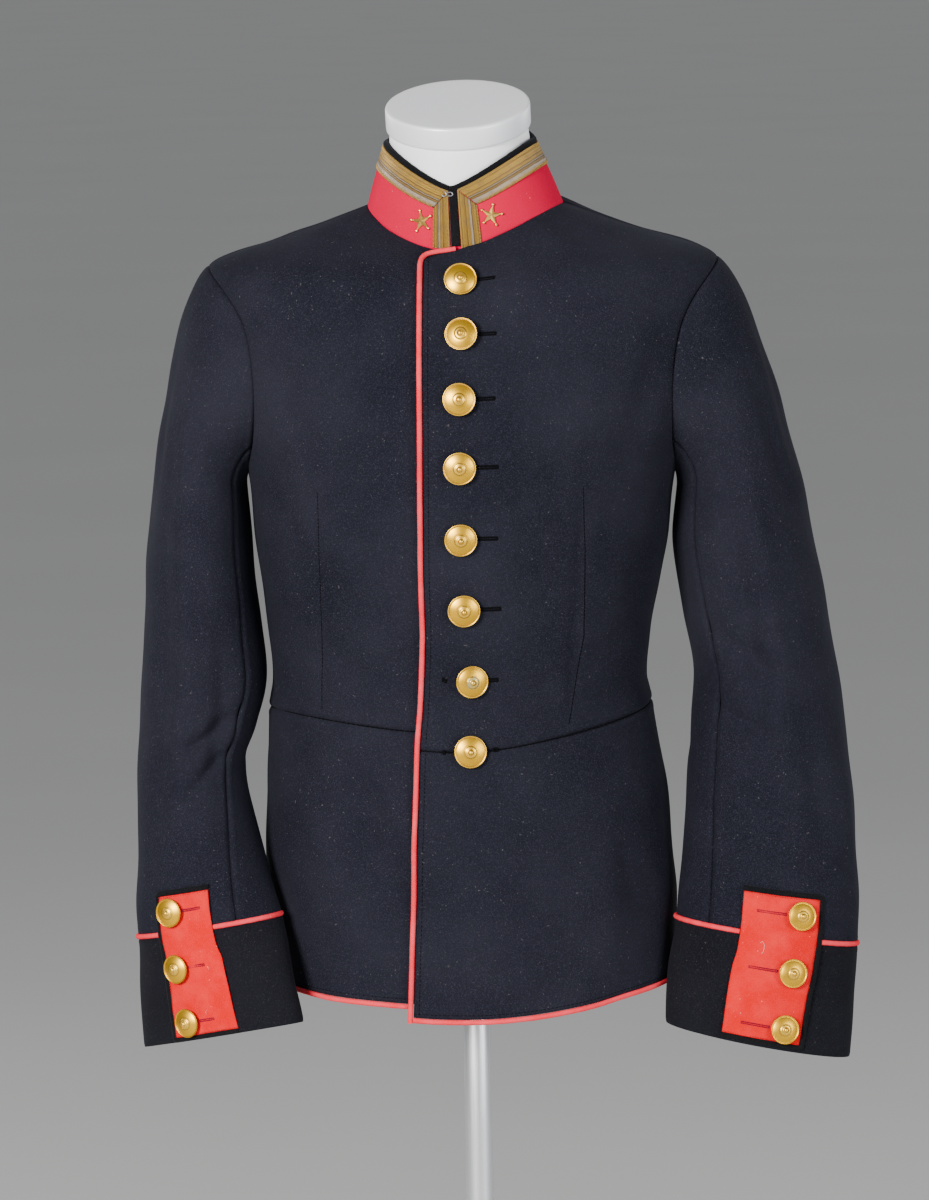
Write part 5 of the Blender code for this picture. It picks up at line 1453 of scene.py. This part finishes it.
# Loose bar tacks beside the two lowest buttons: across and height
TACKS = ((-0.0216, 1.0816), (-0.0220, 1.0235), (-0.0195, 1.0805))
tack_runs = []
for x, z in TACKS:
    for number in range(5):
        ends = on_front((x - 0.0006 + 0.0003 * number, x + 0.0003 * number), (z - 0.0018, z + 0.0018), OVER + 0.0003)
        tack_runs.append((*ends[0], *ends[1]))
stitches("front_bar_tacks", tack_runs, 0.00035, BLACK_THREAD_AND_SHADE, "navy_wool")

# Buttonholes of the cuffs and the stitching round the flaps
CUFF_HOLES = {"right": (0.0105, 0.0140), "left": (0.0120, 0.0220)}
for side in ("left", "right"):
    runs = []
    for degrees, row in CUFF_BUTTONS[side]:
        start, length = CUFF_HOLES[side]

        def place(across, up, out, side=side, degrees=degrees, row=row):
            point = beside(side, np.array(degrees), np.array(row), -across, -up, FLAP_OUT + out + 0.0001)
            return tuple(point)

        buttonhole(place, length, 0.00115, runs, start)
    stitches(f"cuff_buttonholes_{side}", runs, 0.00034, WINE_THREAD, "red_cloth")
    border = flap_border(side)
    inward = np.array([-0.0010])[:, None]
    turn, row, across, down = (border[None, :, column] + 0.0 * inward for column in range(4))
    line = beside(side, turn, row, across * inward, down * inward, FLAP_OUT + 0.0001)[0]
    stitches(f"flap_stitches_{side}", walk(line, 0.0011, 0.0009), 0.00022, RED_THREAD, "red_cloth")

# Pale scratch on the left cuff's flap
bends = np.array(((-9.5, 9.13), (-8.0, 9.10), (-6.8, 9.14), (-6.6, 9.22), (-7.4, 9.30), (-8.6, 9.33)))
line = sleeve_point("left", np.radians(bends[:, 0]), bends[:, 1], FLAP_OUT + 0.0001)
stitches("flap_scratch", walk(line, 0.0012, 0.0), 0.00022, PALE_THREAD, "red_cloth")

# Oversewn edges of the collar lace: slanted stitches over both sides and down the mitres
edge_runs = []
for rise in LACE_RISE:
    inset_rise = rise + (0.018 if rise == LACE_RISE[0] else -0.018)
    first_turn = LACE_LEFT[1] if rise == LACE_RISE[0] else LACE_LEFT[0]
    last_turn = 360.0 + (LACE_RIGHT[0] if rise == LACE_RISE[0] else LACE_RIGHT[1])
    turns = np.radians(np.arange(first_turn + 0.5, last_turn - 0.5, 0.95))
    one = collar_point(turns, np.full_like(turns, rise), LACE_OUT - 0.0002)
    two = collar_point(turns + 0.008, np.full_like(turns, inset_rise + (0.03 if rise == LACE_RISE[0] else -0.03)),
                       LACE_OUT + 0.0002)
    edge_runs.append(np.concatenate((one, two), axis=1))
for near, far in (LACE_LEFT, (LACE_RIGHT[1], LACE_RIGHT[0])):
    for edge, inner in ((near, 1.0), (far, -1.0)):
        top_rise = (LACE_RISE[1] if edge == near else LACE_RISE[0]) - 0.02
        levels = np.arange(LACE_FOOT_SEEN + 0.01, top_rise, 0.022)
        step = math.copysign(1.0, far - near) * inner
        one = collar_point(np.full_like(levels, math.radians(edge)), levels, LACE_OUT - 0.0002)
        two = collar_point(np.full_like(levels, math.radians(edge + 1.1 * step)), levels + 0.010, LACE_OUT + 0.0002)
        edge_runs.append(np.concatenate((one, two), axis=1))
stitches("lace_edge_stitches", np.concatenate(edge_runs), 0.00030, GOLD_THREAD, "gold_lace")

# Floor, light and camera
bpy.ops.mesh.primitive_plane_add(size=120.0, location=(0.0, 30.0, 0.0))
floor = bpy.context.object
floor.name = "floor"
floor_paint = Paint("pale_floor", (0.58, 0.58, 0.57), 0.85)
floor_cloud = floor_paint.noise(1.3, 3.0)
floor_paint.set("Base Color", floor_paint.mix(floor_paint.between(floor_cloud, 0.3, 0.7), (0.57, 0.57, 0.56),
                                              (0.59, 0.59, 0.58)))
floor.data.materials.append(floor_paint.made)
floor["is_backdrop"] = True


def lamp(name, place, aim, size, power, colour=(1.0, 1.0, 1.0)):
    light = bpy.data.lights.new(name, "AREA")
    light.shape = "DISK"
    light.size = size
    light.energy = power
    light.color = colour
    thing = bpy.data.objects.new(name, light)
    bpy.context.scene.collection.objects.link(thing)
    thing.location = place
    thing.rotation_mode = "QUATERNION"
    thing.rotation_quaternion = (Vector(aim) - Vector(place)).to_track_quat("-Z", "Y")
    return thing


lamp("key", (-1.9, -3.0, 2.3), (0.0, 0.0, 1.15), 1.3, 220.0, (1.0, 0.985, 0.97))
lamp("fill", (2.6, -2.6, 1.6), (0.0, 0.0, 1.10), 2.0, 85.0, (0.97, 0.985, 1.0))
lamp("back_left", (-2.4, 2.2, 1.9), (0.0, 0.0, 1.20), 1.6, 22.0)
lamp("back_right", (2.5, 1.9, 1.8), (0.0, 0.0, 1.20), 1.6, 20.0)

world = bpy.data.worlds.new("studio")
bpy.context.scene.world = world
world.use_nodes = True
world.node_tree.nodes["Background"].inputs["Color"].default_value = (0.82, 0.83, 0.85, 1.0)
world.node_tree.nodes["Background"].inputs["Strength"].default_value = 0.42

VIEW_PITCH = math.radians(9.0)
VIEW_ROLL = math.radians(1.1)
VIEW_TARGET = Vector((-0.0035, 0.0, 1.126))
VIEW_DISTANCE = 4.0
ahead = Vector((0.0, math.cos(VIEW_PITCH), -math.sin(VIEW_PITCH)))
level_up = Vector((0.0, math.sin(VIEW_PITCH), math.cos(VIEW_PITCH)))
across = math.cos(VIEW_ROLL) * Vector((1.0, 0.0, 0.0)) - math.sin(VIEW_ROLL) * level_up
upright = math.sin(VIEW_ROLL) * Vector((1.0, 0.0, 0.0)) + math.cos(VIEW_ROLL) * level_up
lens = bpy.data.cameras.new("camera")
lens.lens = 150.0
lens.sensor_width = 36.0
lens.clip_start = 0.05
lens.clip_end = 200.0
camera = bpy.data.objects.new("camera", lens)
bpy.context.scene.collection.objects.link(camera)
camera.matrix_world = (Matrix.Translation(VIEW_TARGET - ahead * VIEW_DISTANCE)
                       @ Matrix((across, upright, -ahead)).transposed().to_4x4())
bpy.context.scene.camera = camera

low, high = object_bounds()
